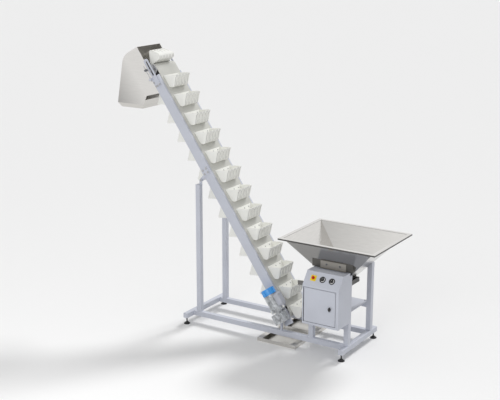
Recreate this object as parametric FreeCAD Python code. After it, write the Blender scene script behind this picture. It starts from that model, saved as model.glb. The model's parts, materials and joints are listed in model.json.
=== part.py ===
import FreeCAD, Part
import math
import os

# Inclined bucket belt elevator with a feed hopper, in millimetres and degrees.
# X runs along the base, away from the discharge hood; Y runs to the rear; Z is up.
# Until the last step the middle of the machine is y = 0 and the base starts at x = 0.

# Clearance between pieces that seat on each other without touching
seat_gap = 0.3

# Square tube of the frame
tube = 60.0
tube_edge = 5.0

# Base frame
base_length = 2146.0
rail_span = 611.0
front_overhang = 137.0
rear_overhang = 109.0

# Levelling feet
foot_height = 77.5
foot_pad_radius = 38.0
foot_pad_rim = 7.0
foot_dome_height = 26.0
foot_stud_radius = 8.0
foot_nut_radius = 14.0
foot_nut_height = 13.0

# Hopper stand
stand_setback = 6.0
stand_length = 505.0
stand_top = 952.0
shelf_beam_base = 413.0
shelf_thickness = 6.0
shelf_side_gap = 2.0
shelf_half_width = 300.0

# Line of the conveyor: tail shaft and incline
incline_angle = 55.4
tail_from_stand = 369.3
tail_z = 311.4
shaft_centres = 3243.0

# Belt and drums
belt_thickness = 4.0
belt_half_width = 192.0
drum_radius = 63.7
drum_half_width = 196.0
drum_crown_chamfer = 3.0
tail_shaft_radius = 12.5

# Side plates of the conveyor and the bed under the belt
side_plate_outer = 223.0
side_plate_thickness = 4.0
side_plate_depth = 120.0
side_plate_flange = 48.0
side_plate_tail_reach = 137.0
side_plate_head_setback = 90.0
bed_thickness = 1.7
bed_half_width = 195.0
bed_tail_setback = 75.0
cross_tie_radius = 12.0
cross_tie_count = 5

# Take-up plates at the head shaft
take_up_thickness = 8.0
take_up_width = 65.0
take_up_reach = 150.0
take_up_lap = 130.0
take_up_slot_width = 22.0
take_up_slot_back = 73.0
take_up_slot_front = 120.0
head_shaft_stub = 12.5
take_up_lug_width = 22.0
take_up_lug_reach = 34.0
take_up_lug_drop = 34.0
take_up_screw_radius = 5.0
take_up_screw_length = 140.0
take_up_screw_tail = 16.0

# Pivot of the conveyor on the tall posts
pivot_from_left = 140.5
pivot_n = -108.0
pivot_rise = 46.0
pivot_offset = 40.0
pivot_pin_radius = 8.0
pivot_lug_radius = 18.0
pivot_lug_thickness = 8.0
pivot_head_radius = 13.0
pivot_head_height = 5.0
post_cap = 6.0
hinge_plate_thickness = 8.0

# Hinge brackets: a plate on the conveyor's side with an arm down to the pivot
bracket_start = 13.0
bracket_end = 107.0
bracket_high = 42.0
bracket_low = -52.0
bracket_knee = 37.0
bracket_knee_drop = 6.0
bracket_bend_height = 65.0
bracket_edge = 8.0
arm_half_width = 17.0
arm_bend_height = 35.0
arm_end_edge = 15.0

# Buckets
bucket_count = 27
bucket_width = 300.0
bucket_projection = 180.0
bucket_rim_rise = 19.0
bucket_depth = 130.0
bucket_floor_reach = 150.0
bucket_bottom_radius = 42.0
bucket_heel_radius = 30.0
bucket_corner_radius = 26.0
bucket_end_draft = 5.0
bucket_wall = 4.0
bucket_lip = 4.0
bucket_lip_height = 23.0
bucket_rib_count = 5
bucket_rib_spacing = 60.0
bucket_rib_width = 12.0
bucket_rib_height = 6.0
bucket_bolt_set = 30.0
head_bucket_angle = 90.0
upper_bucket_count = 6

# Discharge hood, placed from the head shaft
hood_sheet = 2.0
hood_top_reach = 330.0
hood_open_edge = -20.0
hood_heel_setback = 190.0
hood_corner_x = -416.5
hood_corner_z = 144.0
hood_bend_radius = 180.0
hood_foot_x = -514.5
hood_foot_z = -423.5
hood_throat_x = -131.5
hood_wall_top_x = -97.5
hood_wall_top_z = -362.5
hood_cheek_x = -74.5
hood_cheek_z = -310.5
spout_height = 48.0
spout_front_inset = 57.0
spout_back_inset = 12.0
spout_side_inset = 8.0

# Gearmotor on the tail shaft, front side
gearbox_start = -76.0
gearbox_end = 46.0
gearbox_low = -73.0
gearbox_high = 60.0
gearbox_inner = 234.0
gearbox_width = 125.0
gearbox_edge = 12.0
gearbox_boss_radius = 44.0
gearbox_cover_radius = 42.0
gearbox_cover_height = 8.0
motor_line_n = 22.0
motor_line_y = -308.5
motor_neck_length = 26.0
motor_neck_radius = 38.0
motor_fin_tip = 78.0
motor_fin_root = 68.0
motor_fin_count = 24
motor_end_u = 276.0
fan_cover_radius = 80.0
fan_cover_length = 75.0
fan_cover_edge = 14.0
terminal_box_u = 100.0
terminal_box_length = 162.0
terminal_box_half_width = 45.0
terminal_box_top = 153.0
terminal_box_edge = 30.0
terminal_box_top_edge = 22.0
torque_bar_width = 20.0
torque_bar_depth = 30.0
torque_bar_setback = 4.7
torque_bar_inset = 15.0

# Rear tail support and rear tail bearing
tail_support_setback = 20.0
tail_support_width = 90.0
tail_support_thickness = 8.0
tail_support_height = 92.5
tail_support_lap = 12.5
bearing_size = 96.0
bearing_flange = 12.0
bearing_hub_radius = 34.0
bearing_hub_length = 34.0

# Drip trays on the floor
tray_from_tail = 240.7
tray_length = 500.0
tray_width = 346.0
tray_gap = 129.0
tray_height = 43.0
tray_sheet = 2.0
tray_flange = 65.0

# Feed hopper
hopper_centre_from_stand = 283.5
rim_half_length = 591.5
rim_half_width = 479.0
rim_width = 42.0
rim_top = 1297.0
rim_lip = 17.0
hopper_sheet = 3.0
mouth_z = 800.0
mouth_half_length = 70.0
neck_length = 32.0
stiffener_bottom = 1005.0
stiffener_height = 90.0
stiffener_left = 233.5
stiffener_right = 266.0
mounting_plate_left = 128.5
mounting_plate_right = 186.5
mounting_plate_thickness = 6.0
mounting_plate_height = 82.0
mounting_plate_lip = 16.0

# Vibrating feeder under the hopper
pan_slope = 4.0
pan_depth = 52.0
pan_reach = 495.0
pan_half_width = 190.0
pan_sheet = 3.0
pan_end_gap = 21.5
pan_rim_drop = 22.0
drive_back = -20.0
drive_length = 200.0
drive_half_width = 80.0
drive_height = 78.0
drive_foot_height = 18.0
drive_foot_radius = 18.0
drive_foot_inset = 26.0
spring_thickness = 12.0
spring_half_width = 60.0
spring_lean = 20.0

# Control cabinet
cabinet_post_gap = 5.0
cabinet_length = 445.0
cabinet_depth = 262.0
cabinet_base = 412.0
cabinet_height = 583.0
cabinet_front_height = 446.0
cabinet_roof_depth = 156.0
cabinet_sheet = 2.0

# Cabinet door, hinge and latch
door_left_margin = 19.0
door_right_margin = 39.0
door_bottom_margin = 31.0
door_top_margin = 25.0
door_gap = 5.0
door_hinge_gap = 8.0
door_thickness = 3.0
hinge_tube_radius = 5.0
hinge_pin_radius = 2.5
hinge_pin_length = 22.0
hinge_lug_height = 9.0
latch_from_right = 65.0
latch_height = 194.0
latch_stem_radius = 6.0
latch_handle_half_width = 17.0
latch_handle_half_height = 31.0
latch_handle_depth = 12.0
latch_collar_radius = 13.0
latch_collar_height = 8.0
latch_cam_length = 82.0
latch_cam_width = 20.0
latch_cam_thickness = 3.0
latch_cam_clearance = 5.5

# Switch and speed dials on the control panel
control_row_height = 94.5
switch_from_left = 104.0
control_spacing = 113.0
switch_plate_size = 66.0
switch_plate_height = 4.0
switch_plate_edge = 8.0
switch_knob_radius = 17.0
switch_knob_height = 14.0
switch_grip_width = 9.0
switch_grip_height = 12.0
dial_radius = 35.0
dial_height = 5.0
dial_face_radius = 26.0
dial_recess = 2.0
knob_radius = 13.0
knob_height = 17.0
knob_pointer_width = 5.0
knob_pointer_reach = 9.0
knob_stem_radius = 4.0
knob_lift = 1.0

# Worked out from the sizes above
rail_outer = rail_span / 2
rail_inner = rail_outer - tube
base_top = foot_height + tube
beam_front = -rail_outer - front_overhang
beam_rear = rail_outer + rear_overhang
stand_right = base_length - stand_setback
stand_left = stand_right - stand_length
shelf_top = shelf_beam_base + tube + shelf_thickness
incline_cos = math.cos(math.radians(incline_angle))
incline_sin = math.sin(math.radians(incline_angle))
incline_fall = incline_sin / incline_cos
tail_x = stand_left - tail_from_stand
pivot_u = (tail_x - pivot_from_left + pivot_n * incline_sin) / incline_cos
belt_inner = drum_radius + seat_gap
belt_outer = belt_inner + belt_thickness
belt_neutral = belt_inner + belt_thickness / 2
belt_loop = 2 * shaft_centres + 2 * math.pi * belt_neutral
bucket_pitch = belt_loop / bucket_count
bed_top = belt_inner - seat_gap
side_plate_high = bed_top - bed_thickness
side_plate_low = side_plate_high - side_plate_depth
side_plate_inner = side_plate_outer - side_plate_thickness
side_plate_end = shaft_centres - side_plate_head_setback
take_up_outer = side_plate_outer + take_up_thickness
head_shaft_radius = take_up_slot_width / 2 - seat_gap
hinge_outer = side_plate_outer + hinge_plate_thickness
bucket_rim_slope = bucket_rim_rise / bucket_projection
stiffener_top = stiffener_bottom + stiffener_height
hopper_x = stand_left + hopper_centre_from_stand
wall_top = rim_top - hopper_sheet
wall_half_length = rim_half_length - rim_width
wall_half_width = rim_half_width - rim_width
neck_bottom = mouth_z - neck_length
cabinet_left = stand_left + tube + cabinet_post_gap
cabinet_right = cabinet_left + cabinet_length
cabinet_front = -rail_outer - cabinet_depth
cabinet_top = cabinet_base + cabinet_height
door_left = cabinet_left + door_left_margin
door_right = cabinet_right - door_right_margin
door_bottom = cabinet_base + door_bottom_margin
door_top = cabinet_base + cabinet_front_height - door_top_margin
hinge_x = door_left + hinge_tube_radius
hinge_y = cabinet_front + hinge_tube_radius
latch_x = door_right - latch_from_right
latch_z = door_bottom + latch_height
x_axis = FreeCAD.Vector(1, 0, 0)
y_axis = FreeCAD.Vector(0, 1, 0)
z_axis = FreeCAD.Vector(0, 0, 1)
zero = FreeCAD.Vector(0, 0, 0)


def box(x0, x1, y0, y1, z0, z1):
    return Part.makeBox(x1 - x0, y1 - y0, z1 - z0, FreeCAD.Vector(x0, y0, z0))


def edges_along(solid, direction):
    """Straight edges of a solid that run along a direction."""
    found = []
    for edge in solid.Edges:
        if isinstance(edge.Curve, Part.Line):
            if abs(abs(edge.tangentAt(edge.FirstParameter).dot(direction)) - 1) < 1e-6:
                found.append(edge)
    return found


def tube_bar(x0, x1, y0, y1, z0, z1, direction):
    """Square tube with closed ends and rounded long edges."""
    bar = box(x0, x1, y0, y1, z0, z1)
    return bar.makeFillet(tube_edge, edges_along(bar, direction))


def cylinder(centre, direction, radius, length):
    return Part.makeCylinder(radius, length, centre, direction)


def across(x, z, radius, y0, y1):
    """Round bar along Y."""
    return cylinder(FreeCAD.Vector(x, y0, z), y_axis, radius, y1 - y0)


def rear_copy(solid):
    """The same piece on the other side of the machine."""
    return solid.mirror(zero, y_axis)


def rounded_wire(corners):
    """Closed flat wire through corners (a, b, radius), each rounded by its own radius."""
    points = [FreeCAD.Vector(a, b, 0) for a, b, radius in corners]
    starts = []
    ends = []
    middles = []
    for index, (a, b, radius) in enumerate(corners):
        corner = points[index]
        back = (points[index - 1] - corner).normalize()
        ahead = (points[(index + 1) % len(points)] - corner).normalize()
        half_angle = back.getAngle(ahead) / 2
        tangent = radius / math.tan(half_angle)
        starts.append(corner + back * tangent)
        ends.append(corner + ahead * tangent)
        if radius > 0:
            inward = (back + ahead).normalize()
            middles.append(corner + inward * (radius / math.sin(half_angle) - radius))
        else:
            middles.append(None)
    edges = []
    for index in range(len(points)):
        if middles[index] is not None:
            edges.append(Part.Arc(starts[index], middles[index], ends[index]).toShape())
        following = starts[(index + 1) % len(points)]
        if ends[index].distanceToPoint(following) > 1e-6:
            edges.append(Part.LineSegment(ends[index], following).toShape())
    return Part.Wire(edges)


def plate(corners, y0, y1):
    """Upright plate from y0 to y1, with its outline given as (x, z, radius)."""
    solid = Part.Face(rounded_wire(corners)).extrude(FreeCAD.Vector(0, 0, y1 - y0))
    solid.rotate(zero, x_axis, 90)
    solid.translate(FreeCAD.Vector(0, y1, 0))
    return solid


def profile_along_x(corners, x0, x1):
    """Bar along X, with its section given as (y, z, radius)."""
    solid = Part.Face(rounded_wire(corners)).extrude(FreeCAD.Vector(0, 0, x1 - x0))
    solid.rotate(zero, x_axis, 90)
    solid.rotate(zero, z_axis, 90)
    solid.translate(FreeCAD.Vector(x0, 0, 0))
    return solid


def slab(half_x, half_y, z, x=0.0, radius=0.0):
    """Level rectangle, as a wire about a centre on the middle plane."""
    corners = [
        (x - half_x, -half_y, radius),
        (x + half_x, -half_y, radius),
        (x + half_x, half_y, radius),
        (x - half_x, half_y, radius),
    ]
    wire = rounded_wire(corners)
    wire.translate(FreeCAD.Vector(0, 0, z))
    return wire


def incline_point(u, n):
    """Place (x, z) of a point u up the incline from the tail shaft and n above its line."""
    x = tail_x - u * incline_cos + n * incline_sin
    z = tail_z + u * incline_sin + n * incline_cos
    return x, z


def on_incline(solid):
    """Set a piece made with x = -u and z = n on the conveyor's line."""
    placed = solid.copy()
    placed.rotate(zero, y_axis, incline_angle)
    placed.translate(FreeCAD.Vector(tail_x, 0, tail_z))
    return placed


def incline_box(u0, u1, y0, y1, n0, n1):
    return on_incline(box(-u1, -u0, y0, y1, n0, n1))


def incline_plate(corners, y0, y1):
    """Plate along the conveyor, with its outline given as (u, n, radius)."""
    return on_incline(plate([(-u, n, radius) for u, n, radius in corners], y0, y1))


def incline_bar(u0, u1, y, n, radius):
    """Round bar that runs up the incline."""
    return on_incline(cylinder(FreeCAD.Vector(-u1, y, n), x_axis, radius, u1 - u0))


def offset_outline(points, distance):
    """Corners of a convex outline moved inwards; the points run anticlockwise."""
    moved = []
    for index, corner in enumerate(points):
        back = points[index - 1]
        ahead = points[(index + 1) % len(points)]
        first = (corner - back).normalize()
        second = (ahead - corner).normalize()
        first_normal = FreeCAD.Vector(-first.y, first.x, 0)
        second_normal = FreeCAD.Vector(-second.y, second.x, 0)
        bisector = first_normal + second_normal
        scale = distance * 2 / bisector.dot(bisector)
        moved.append(corner + bisector * scale)
    return moved


def base_frame():
    left_beam = tube_bar(0, tube, beam_front, beam_rear, foot_height, base_top, y_axis)
    right_beam = left_beam.copy()
    right_beam.translate(FreeCAD.Vector(base_length - tube, 0, 0))
    front_rail = tube_bar(tube, base_length - tube, -rail_outer, -rail_inner,
                          foot_height, base_top, x_axis)
    feet = []
    for x in (tube / 2, base_length - tube / 2):
        for y in (beam_front + tube / 2, beam_rear - tube / 2):
            feet.append(levelling_foot(x, y))
    return {
        "base_rails": [front_rail, rear_copy(front_rail)],
        "cross_beams": [left_beam, right_beam],
        "levelling_feet": feet,
    }


def levelling_foot(x, y):
    """Domed pad, threaded stud and lock nut under the beam."""
    section = [
        FreeCAD.Vector(0, 0, 0),
        FreeCAD.Vector(foot_pad_radius, 0, 0),
        FreeCAD.Vector(foot_pad_radius, 0, foot_pad_rim),
        FreeCAD.Vector(foot_nut_radius, 0, foot_dome_height),
        FreeCAD.Vector(foot_stud_radius, 0, foot_dome_height),
        FreeCAD.Vector(foot_stud_radius, 0, foot_height),
        FreeCAD.Vector(0, 0, foot_height),
    ]
    face = Part.Face(Part.makePolygon(section + section[:1]))
    pad = face.revolve(zero, z_axis, 360)
    corners = []
    for step in range(6):
        angle = math.radians(60 * step)
        corners.append((foot_nut_radius * math.cos(angle), foot_nut_radius * math.sin(angle), 0))
    nut = Part.Face(rounded_wire(corners)).extrude(FreeCAD.Vector(0, 0, foot_nut_height))
    nut.translate(FreeCAD.Vector(0, 0, foot_height - foot_nut_height))
    foot = pad.fuse(nut).removeSplitter()
    foot.translate(FreeCAD.Vector(x, y, 0))
    return foot


def tall_posts():
    """Posts that carry the conveyor, with their caps, pivot lugs and pins."""
    pin_x, pin_z = incline_point(pivot_u, pivot_n)
    post_left = pin_x - pivot_offset
    cap_top = pin_z - pivot_rise
    post_top = cap_top - post_cap
    post = tube_bar(post_left, post_left + tube, -rail_outer, -rail_inner,
                    base_top, post_top, z_axis)
    cap = box(post_left, post_left + tube, -rail_outer, -rail_inner, post_top, cap_top)
    lug_left = pin_x - pivot_lug_radius
    lug_right = pin_x + pivot_lug_radius
    lug_top = pin_z + pivot_lug_radius
    lug = plate([(lug_left, cap_top, 0), (lug_right, cap_top, 0),
                 (lug_right, lug_top, pivot_lug_radius), (lug_left, lug_top, pivot_lug_radius)],
                -rail_inner - pivot_lug_thickness, -rail_inner)
    hole = across(pin_x, pin_z, pivot_pin_radius + seat_gap, -rail_outer, -rail_inner + tube)
    front = post.fuse([cap, lug]).removeSplitter().cut(hole)
    pin_outer = rail_inner + pivot_lug_thickness + seat_gap
    pin = across(pin_x, pin_z, pivot_pin_radius, -pin_outer, -side_plate_outer + seat_gap)
    outer_head = across(pin_x, pin_z, pivot_head_radius, -pin_outer - pivot_head_height, -pin_outer)
    inner_head = across(pin_x, pin_z, pivot_head_radius, -side_plate_outer + seat_gap,
                        -side_plate_outer + seat_gap + pivot_head_height)
    pin = pin.fuse([outer_head, inner_head]).removeSplitter()
    return {
        "tall_posts": [front, rear_copy(front)],
        "pivot_pins": [pin, rear_copy(pin)],
    }


def hinge_brackets():
    """Plates on the conveyor's sides, with an arm down to the pivot pin."""
    arm_end = pivot_n - pivot_lug_radius
    outline = [
        (pivot_u + bracket_start, bracket_high, bracket_edge),
        (pivot_u + bracket_end, bracket_high, bracket_edge),
        (pivot_u + bracket_end, bracket_low, bracket_edge),
        (pivot_u + bracket_knee, bracket_low - bracket_knee_drop, bracket_edge),
        (pivot_u + arm_half_width, arm_end, arm_end_edge),
        (pivot_u - arm_half_width, arm_end, arm_end_edge),
        (pivot_u - arm_half_width, pivot_n + arm_bend_height, bracket_edge),
        (pivot_u + bracket_start, pivot_n + bracket_bend_height, bracket_edge),
    ]
    bracket = incline_plate(outline, -hinge_outer, -side_plate_outer)
    pin_x, pin_z = incline_point(pivot_u, pivot_n)
    hole = across(pin_x, pin_z, pivot_pin_radius + seat_gap, -rail_outer, 0)
    bracket = bracket.cut(hole)
    return {"hinge_brackets": [bracket, rear_copy(bracket)]}


def stand():
    """Four posts, beams and shelf under the hopper."""
    beam_bottom = stand_top - tube
    posts = []
    for left in (stand_left, stand_right - tube):
        post = tube_bar(left, left + tube, -rail_outer, -rail_inner, base_top, beam_bottom, z_axis)
        posts += [post, rear_copy(post)]
    top_beam = tube_bar(stand_left, stand_right, -rail_outer, -rail_inner,
                        beam_bottom, stand_top, x_axis)
    shelf_beam = tube_bar(stand_left + tube, stand_right - tube, -rail_outer, -rail_inner,
                          shelf_beam_base, shelf_beam_base + tube, x_axis)
    shelf = box(stand_left + tube + shelf_side_gap, stand_right - tube - shelf_side_gap,
                -shelf_half_width, shelf_half_width, shelf_top - shelf_thickness, shelf_top)
    return {
        "stand_posts": posts,
        "stand_top_beams": [top_beam, rear_copy(top_beam)],
        "shelf_beams": [shelf_beam, rear_copy(shelf_beam)],
        "shelf_plate": [shelf],
    }


def side_plates():
    """Folded channels on both sides of the belt, with a bed and cross ties between them."""
    u0 = -side_plate_tail_reach
    u1 = side_plate_end
    flange_inner = -side_plate_outer + side_plate_thickness + side_plate_flange
    web = incline_box(u0, u1, -side_plate_outer, -side_plate_inner, side_plate_low, side_plate_high)
    top = incline_box(bed_tail_setback, u1, -side_plate_inner, flange_inner,
                      side_plate_high - side_plate_thickness, side_plate_high)
    bottom = incline_box(bed_tail_setback, u1, -side_plate_inner, flange_inner,
                         side_plate_low, side_plate_low + side_plate_thickness)
    bore = across(tail_x, tail_z, tail_shaft_radius + seat_gap, -rail_inner, 0)
    channel = web.fuse([top, bottom]).removeSplitter().cut(bore)
    bed = incline_box(bed_tail_setback, u1, -bed_half_width, bed_half_width,
                      side_plate_high, bed_top)
    ties = []
    for index in range(cross_tie_count):
        u = shaft_centres * (index + 0.5) / cross_tie_count
        x, z = incline_point(u, 0)
        ties.append(across(x, z, cross_tie_radius, -side_plate_inner, side_plate_inner))
    return {
        "conveyor_side_plates": [channel, rear_copy(channel)],
        "slider_bed": [bed],
        "conveyor_cross_ties": ties,
    }


def drums():
    """Head and tail drums on their shafts."""
    made = []
    for u in (shaft_centres, 0):
        x, z = incline_point(u, 0)
        drum = across(x, z, drum_radius, -drum_half_width, drum_half_width)
        rims = [edge for edge in drum.Edges if isinstance(edge.Curve, Part.Circle)]
        made.append(drum.makeChamfer(drum_crown_chamfer, rims))
    head_x, head_z = incline_point(shaft_centres, 0)
    head_end = take_up_outer + head_shaft_stub
    head_shaft = across(head_x, head_z, head_shaft_radius, -head_end, head_end)
    tail_front = -gearbox_inner - gearbox_width
    tail_rear = side_plate_outer + bearing_hub_length
    tail_shaft = across(tail_x, tail_z, tail_shaft_radius, tail_front, tail_rear)
    return {
        "head_drum": [made[0].fuse(head_shaft).removeSplitter()],
        "tail_drum": [made[1].fuse(tail_shaft).removeSplitter()],
    }


def take_ups():
    """Slotted plates that carry the head shaft, and their adjusting screws."""
    start = side_plate_end - take_up_lap
    end = shaft_centres + take_up_reach
    half = take_up_width / 2
    body = incline_plate([(start, -half, 0), (start, half, 0),
                          (end, half, half), (end, -half, half)],
                         -take_up_outer, -side_plate_outer)
    slot_half = take_up_slot_width / 2
    slot_start = shaft_centres - take_up_slot_back
    slot_end = shaft_centres + take_up_slot_front
    slot = incline_plate([(slot_start, -slot_half, slot_half),
                          (slot_start, slot_half, slot_half),
                          (slot_end, slot_half, slot_half),
                          (slot_end, -slot_half, slot_half)],
                         -take_up_outer - 1, -side_plate_outer + 1)
    lug_u = slot_start - take_up_lug_width / 2
    lug_low = -half - take_up_lug_drop
    ear = incline_box(lug_u - take_up_lug_width, lug_u, -take_up_outer, -side_plate_outer,
                      lug_low, -half + 1)
    lug = incline_box(lug_u - take_up_lug_width, lug_u, -take_up_outer - take_up_lug_reach,
                      -take_up_outer, lug_low, -half + 1)
    screw_y = -take_up_outer - take_up_lug_reach / 2
    screw_n = -half - take_up_lug_drop / 2
    screw_u = lug_u - take_up_lug_width - take_up_screw_tail
    hole = incline_bar(screw_u, lug_u + 1, screw_y, screw_n, take_up_screw_radius + seat_gap)
    carrier = body.cut(slot).fuse([ear, lug]).removeSplitter().cut(hole)
    screw = incline_bar(screw_u, screw_u + take_up_screw_length, screw_y, screw_n, take_up_screw_radius)
    nut = incline_bar(lug_u + seat_gap, lug_u + seat_gap + 2 * take_up_screw_radius, screw_y, screw_n,
                      2 * take_up_screw_radius)
    screw = screw.fuse(nut).removeSplitter()
    return {
        "take_up_plates": [carrier, rear_copy(carrier)],
        "take_up_screws": [screw, rear_copy(screw)],
    }


def belt():
    """Flat endless belt round both drums."""
    loops = []
    for radius in (belt_outer, belt_inner):
        run = box(-shaft_centres, 0, -belt_half_width, belt_half_width, -radius, radius)
        ends = [across(0, 0, radius, -belt_half_width, belt_half_width),
                across(-shaft_centres, 0, radius, -belt_half_width, belt_half_width)]
        loops.append(run.fuse(ends).removeSplitter())
    return {"belt": [on_incline(loops[0].cut(loops[1]))]}


def bucket_form(inset, top):
    """Bucket less an inset, with its rim raised by top; the belt line starts at the origin."""
    half = bucket_width / 2 - inset
    front = bucket_projection - bucket_lip - inset
    floor_front = bucket_floor_reach - inset
    back = -bucket_depth
    radius = bucket_corner_radius - inset
    levels = []
    for z, shrink, reach in ((bucket_rim_rise + top + 1, 0, front),
                             (-bucket_depth, bucket_end_draft, floor_front)):
        corners = [
            (back, -half + shrink, 0),
            (reach, -half + shrink, radius),
            (reach, half - shrink, radius),
            (back, half - shrink, 0),
        ]
        wire = rounded_wire(corners)
        wire.translate(FreeCAD.Vector(0, 0, z))
        levels.append(wire)
    plan = Part.makeLoft(levels, True, True)
    shift = inset / incline_sin
    floor_z = -bucket_depth + inset
    back_top = (shift - top / incline_fall) / (1 + bucket_rim_slope / incline_fall)
    side = plate([
        (back_top, bucket_rim_slope * back_top + top, 0),
        (front + 1, bucket_rim_slope * (front + 1) + top, 0),
        (floor_front + 1, floor_z, bucket_bottom_radius - inset),
        (shift - floor_z / incline_fall, floor_z, bucket_heel_radius - inset),
    ], -bucket_width, bucket_width)
    return plan.common(side)


def bucket():
    """Moulded bucket with a lip band and ribs on its front; the origin is its bolt line."""
    outer = bucket_form(0, 0)
    shell = outer.fuse([bucket_lip_band()] + bucket_ribs()).removeSplitter()
    shell = shell.cut(bucket_form(bucket_wall, 2))
    shell.translate(FreeCAD.Vector(-bucket_bolt_set * incline_cos, 0, bucket_bolt_set * incline_sin))
    return shell


def bucket_lip_band():
    """Band along the rim that stands proud of the front wall."""
    half = bucket_width / 2
    plan = rounded_wire([
        (0, -half, 0),
        (bucket_projection, -half, bucket_corner_radius),
        (bucket_projection, half, bucket_corner_radius),
        (0, half, 0),
    ])
    band = Part.Face(plan).extrude(FreeCAD.Vector(0, 0, bucket_depth))
    band.translate(FreeCAD.Vector(0, 0, -bucket_depth / 2))
    low_back = bucket_lip_height / (incline_fall + bucket_rim_slope)
    end = bucket_projection + 1
    side = plate([
        (0, 0, 0),
        (end, bucket_rim_slope * end, 0),
        (end, bucket_rim_slope * end - bucket_lip_height, 0),
        (low_back, bucket_rim_slope * low_back - bucket_lip_height, 0),
    ], -bucket_width, bucket_width)
    return band.common(side)


def bucket_ribs():
    """Upright ribs on the bucket's front wall, from the lip to the rounded bottom."""
    front = bucket_projection - bucket_lip
    lean = (front - bucket_floor_reach) / (bucket_depth + bucket_rim_rise)
    bottom_z = -bucket_depth + bucket_bottom_radius
    head = front - lean * bucket_rim_rise
    foot = head + lean * bottom_z
    ribs = []
    for index in range(bucket_rib_count):
        y = (index - (bucket_rib_count - 1) / 2) * bucket_rib_spacing
        ribs.append(plate([
            (head + bucket_rib_height, 0, 0),
            (foot + bucket_rib_height, bottom_z + 2 * bucket_rib_height, 0),
            (foot - bucket_wall / 2, bottom_z, 0),
            (head - bucket_wall / 2, 0, 0),
        ], y - bucket_rib_width / 2, y + bucket_rib_width / 2))
    return ribs


def placed_bucket(shape, distance):
    """Copy of the bucket at a distance along the belt, from the tail up the carrying run."""
    half_turn = math.pi * belt_neutral
    if distance > shaft_centres:
        turn = min((distance - shaft_centres) / belt_neutral, math.pi)
        past = max(distance - shaft_centres - half_turn, 0)
        centre = shaft_centres - past
    elif distance < 0:
        turn = max(distance / belt_neutral, -math.pi)
        centre = max(-distance - half_turn, 0)
    else:
        turn = 0
        centre = distance
    x, z = incline_point(centre + belt_outer * math.sin(turn), belt_outer * math.cos(turn))
    placed = shape.copy()
    placed.rotate(zero, y_axis, -math.degrees(turn))
    placed.translate(FreeCAD.Vector(x, 0, z))
    return placed


def bucket_distance(index):
    """Place along the belt of each bucket; number 0 is tipped over the head drum."""
    head = shaft_centres + belt_neutral * math.radians(head_bucket_angle)
    return head - bucket_pitch * index


def buckets():
    shape = bucket()
    head = []
    carrying = []
    returning = []
    for index in range(bucket_count):
        distance = bucket_distance(index)
        placed = placed_bucket(shape, distance)
        if distance > shaft_centres:
            head.append(placed)
        elif distance >= 0:
            carrying.append(placed)
        else:
            returning.append(placed)
    return {
        "head_bucket": head,
        "carrying_buckets_upper": carrying[:upper_bucket_count],
        "carrying_buckets_lower": carrying[upper_bucket_count:],
        "return_buckets": returning,
    }


def hood():
    """Bent sheet hood over the head, with flat sides and a tapered spout."""
    head_x, head_z = incline_point(shaft_centres, 0)
    top_x, top_z = incline_point(shaft_centres + hood_top_reach, hood_open_edge)
    foot_x = head_x + hood_foot_x
    foot_z = head_z + hood_foot_z
    corner_x = head_x + hood_corner_x
    corner_z = head_z + hood_corner_z
    throat_x = head_x + hood_throat_x
    wall_x = head_x + hood_wall_top_x
    wall_z = head_z + hood_wall_top_z
    heel_x, heel_z = incline_point(side_plate_end - hood_heel_setback, side_plate_low)
    low_x, low_z = incline_point(side_plate_end, side_plate_low)
    end_x, end_z = incline_point(side_plate_end, hood_open_edge)
    side_inner = side_plate_outer - hood_sheet
    side = plate([
        (top_x, top_z, 0),
        (corner_x, corner_z, hood_bend_radius),
        (foot_x, foot_z, 0),
        (throat_x, foot_z, 0),
        (wall_x, wall_z, 0),
        (head_x + hood_cheek_x, head_z + hood_cheek_z, 0),
        (heel_x, heel_z, 0),
        (low_x, low_z, 0),
        (end_x, end_z, 0),
    ], -side_plate_outer, -side_inner)
    inward = (FreeCAD.Vector(corner_x, 0, corner_z) - FreeCAD.Vector(top_x, 0, top_z)).normalize()
    down = (FreeCAD.Vector(foot_x, 0, foot_z) - FreeCAD.Vector(corner_x, 0, corner_z)).normalize()
    first_normal = FreeCAD.Vector(-inward.z, 0, inward.x)
    second_normal = FreeCAD.Vector(-down.z, 0, down.x)
    bisector = first_normal + second_normal
    corner_move = bisector * (hood_sheet * 2 / bisector.dot(bisector))
    top_inner = FreeCAD.Vector(top_x, 0, top_z) + first_normal * hood_sheet
    foot_inner = foot_x + hood_sheet / -down.z
    shell = plate([
        (top_x, top_z, 0),
        (corner_x, corner_z, hood_bend_radius),
        (foot_x, foot_z, 0),
        (foot_inner, foot_z, 0),
        (corner_x + corner_move.x, corner_z + corner_move.z, hood_bend_radius - hood_sheet),
        (top_inner.x, top_inner.z, 0),
    ], -side_inner, side_inner)
    spout = hood_spout(foot_x, foot_z, throat_x, wall_x, wall_z)
    return {
        "hood_shell": [shell],
        "hood_sides": [side, rear_copy(side)],
        "hood_spout": [spout],
    }


def hood_spout(foot_x, foot_z, throat_x, wall_x, wall_z):
    """Funnel under the hood and the wall that closes its back up to the cheeks."""
    levels = []
    for inset in (0, hood_sheet):
        wires = []
        for z, front, back, half in (
                (foot_z, foot_x, throat_x, side_plate_outer),
                (foot_z - spout_height, foot_x + spout_front_inset, throat_x - spout_back_inset,
                 side_plate_outer - spout_side_inset)):
            middle = (front + back) / 2
            wires.append(slab((back - front) / 2 - inset, half - inset, z, middle))
        levels.append(Part.makeLoft(wires, True, True))
    funnel = levels[0].cut(levels[1])
    side_inner = side_plate_outer - hood_sheet
    wall = plate([
        (throat_x - hood_sheet, foot_z, 0),
        (throat_x, foot_z, 0),
        (wall_x, wall_z, 0),
        (wall_x - hood_sheet, wall_z, 0),
    ], -side_inner, side_inner)
    return funnel.fuse(wall).removeSplitter()


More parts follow.
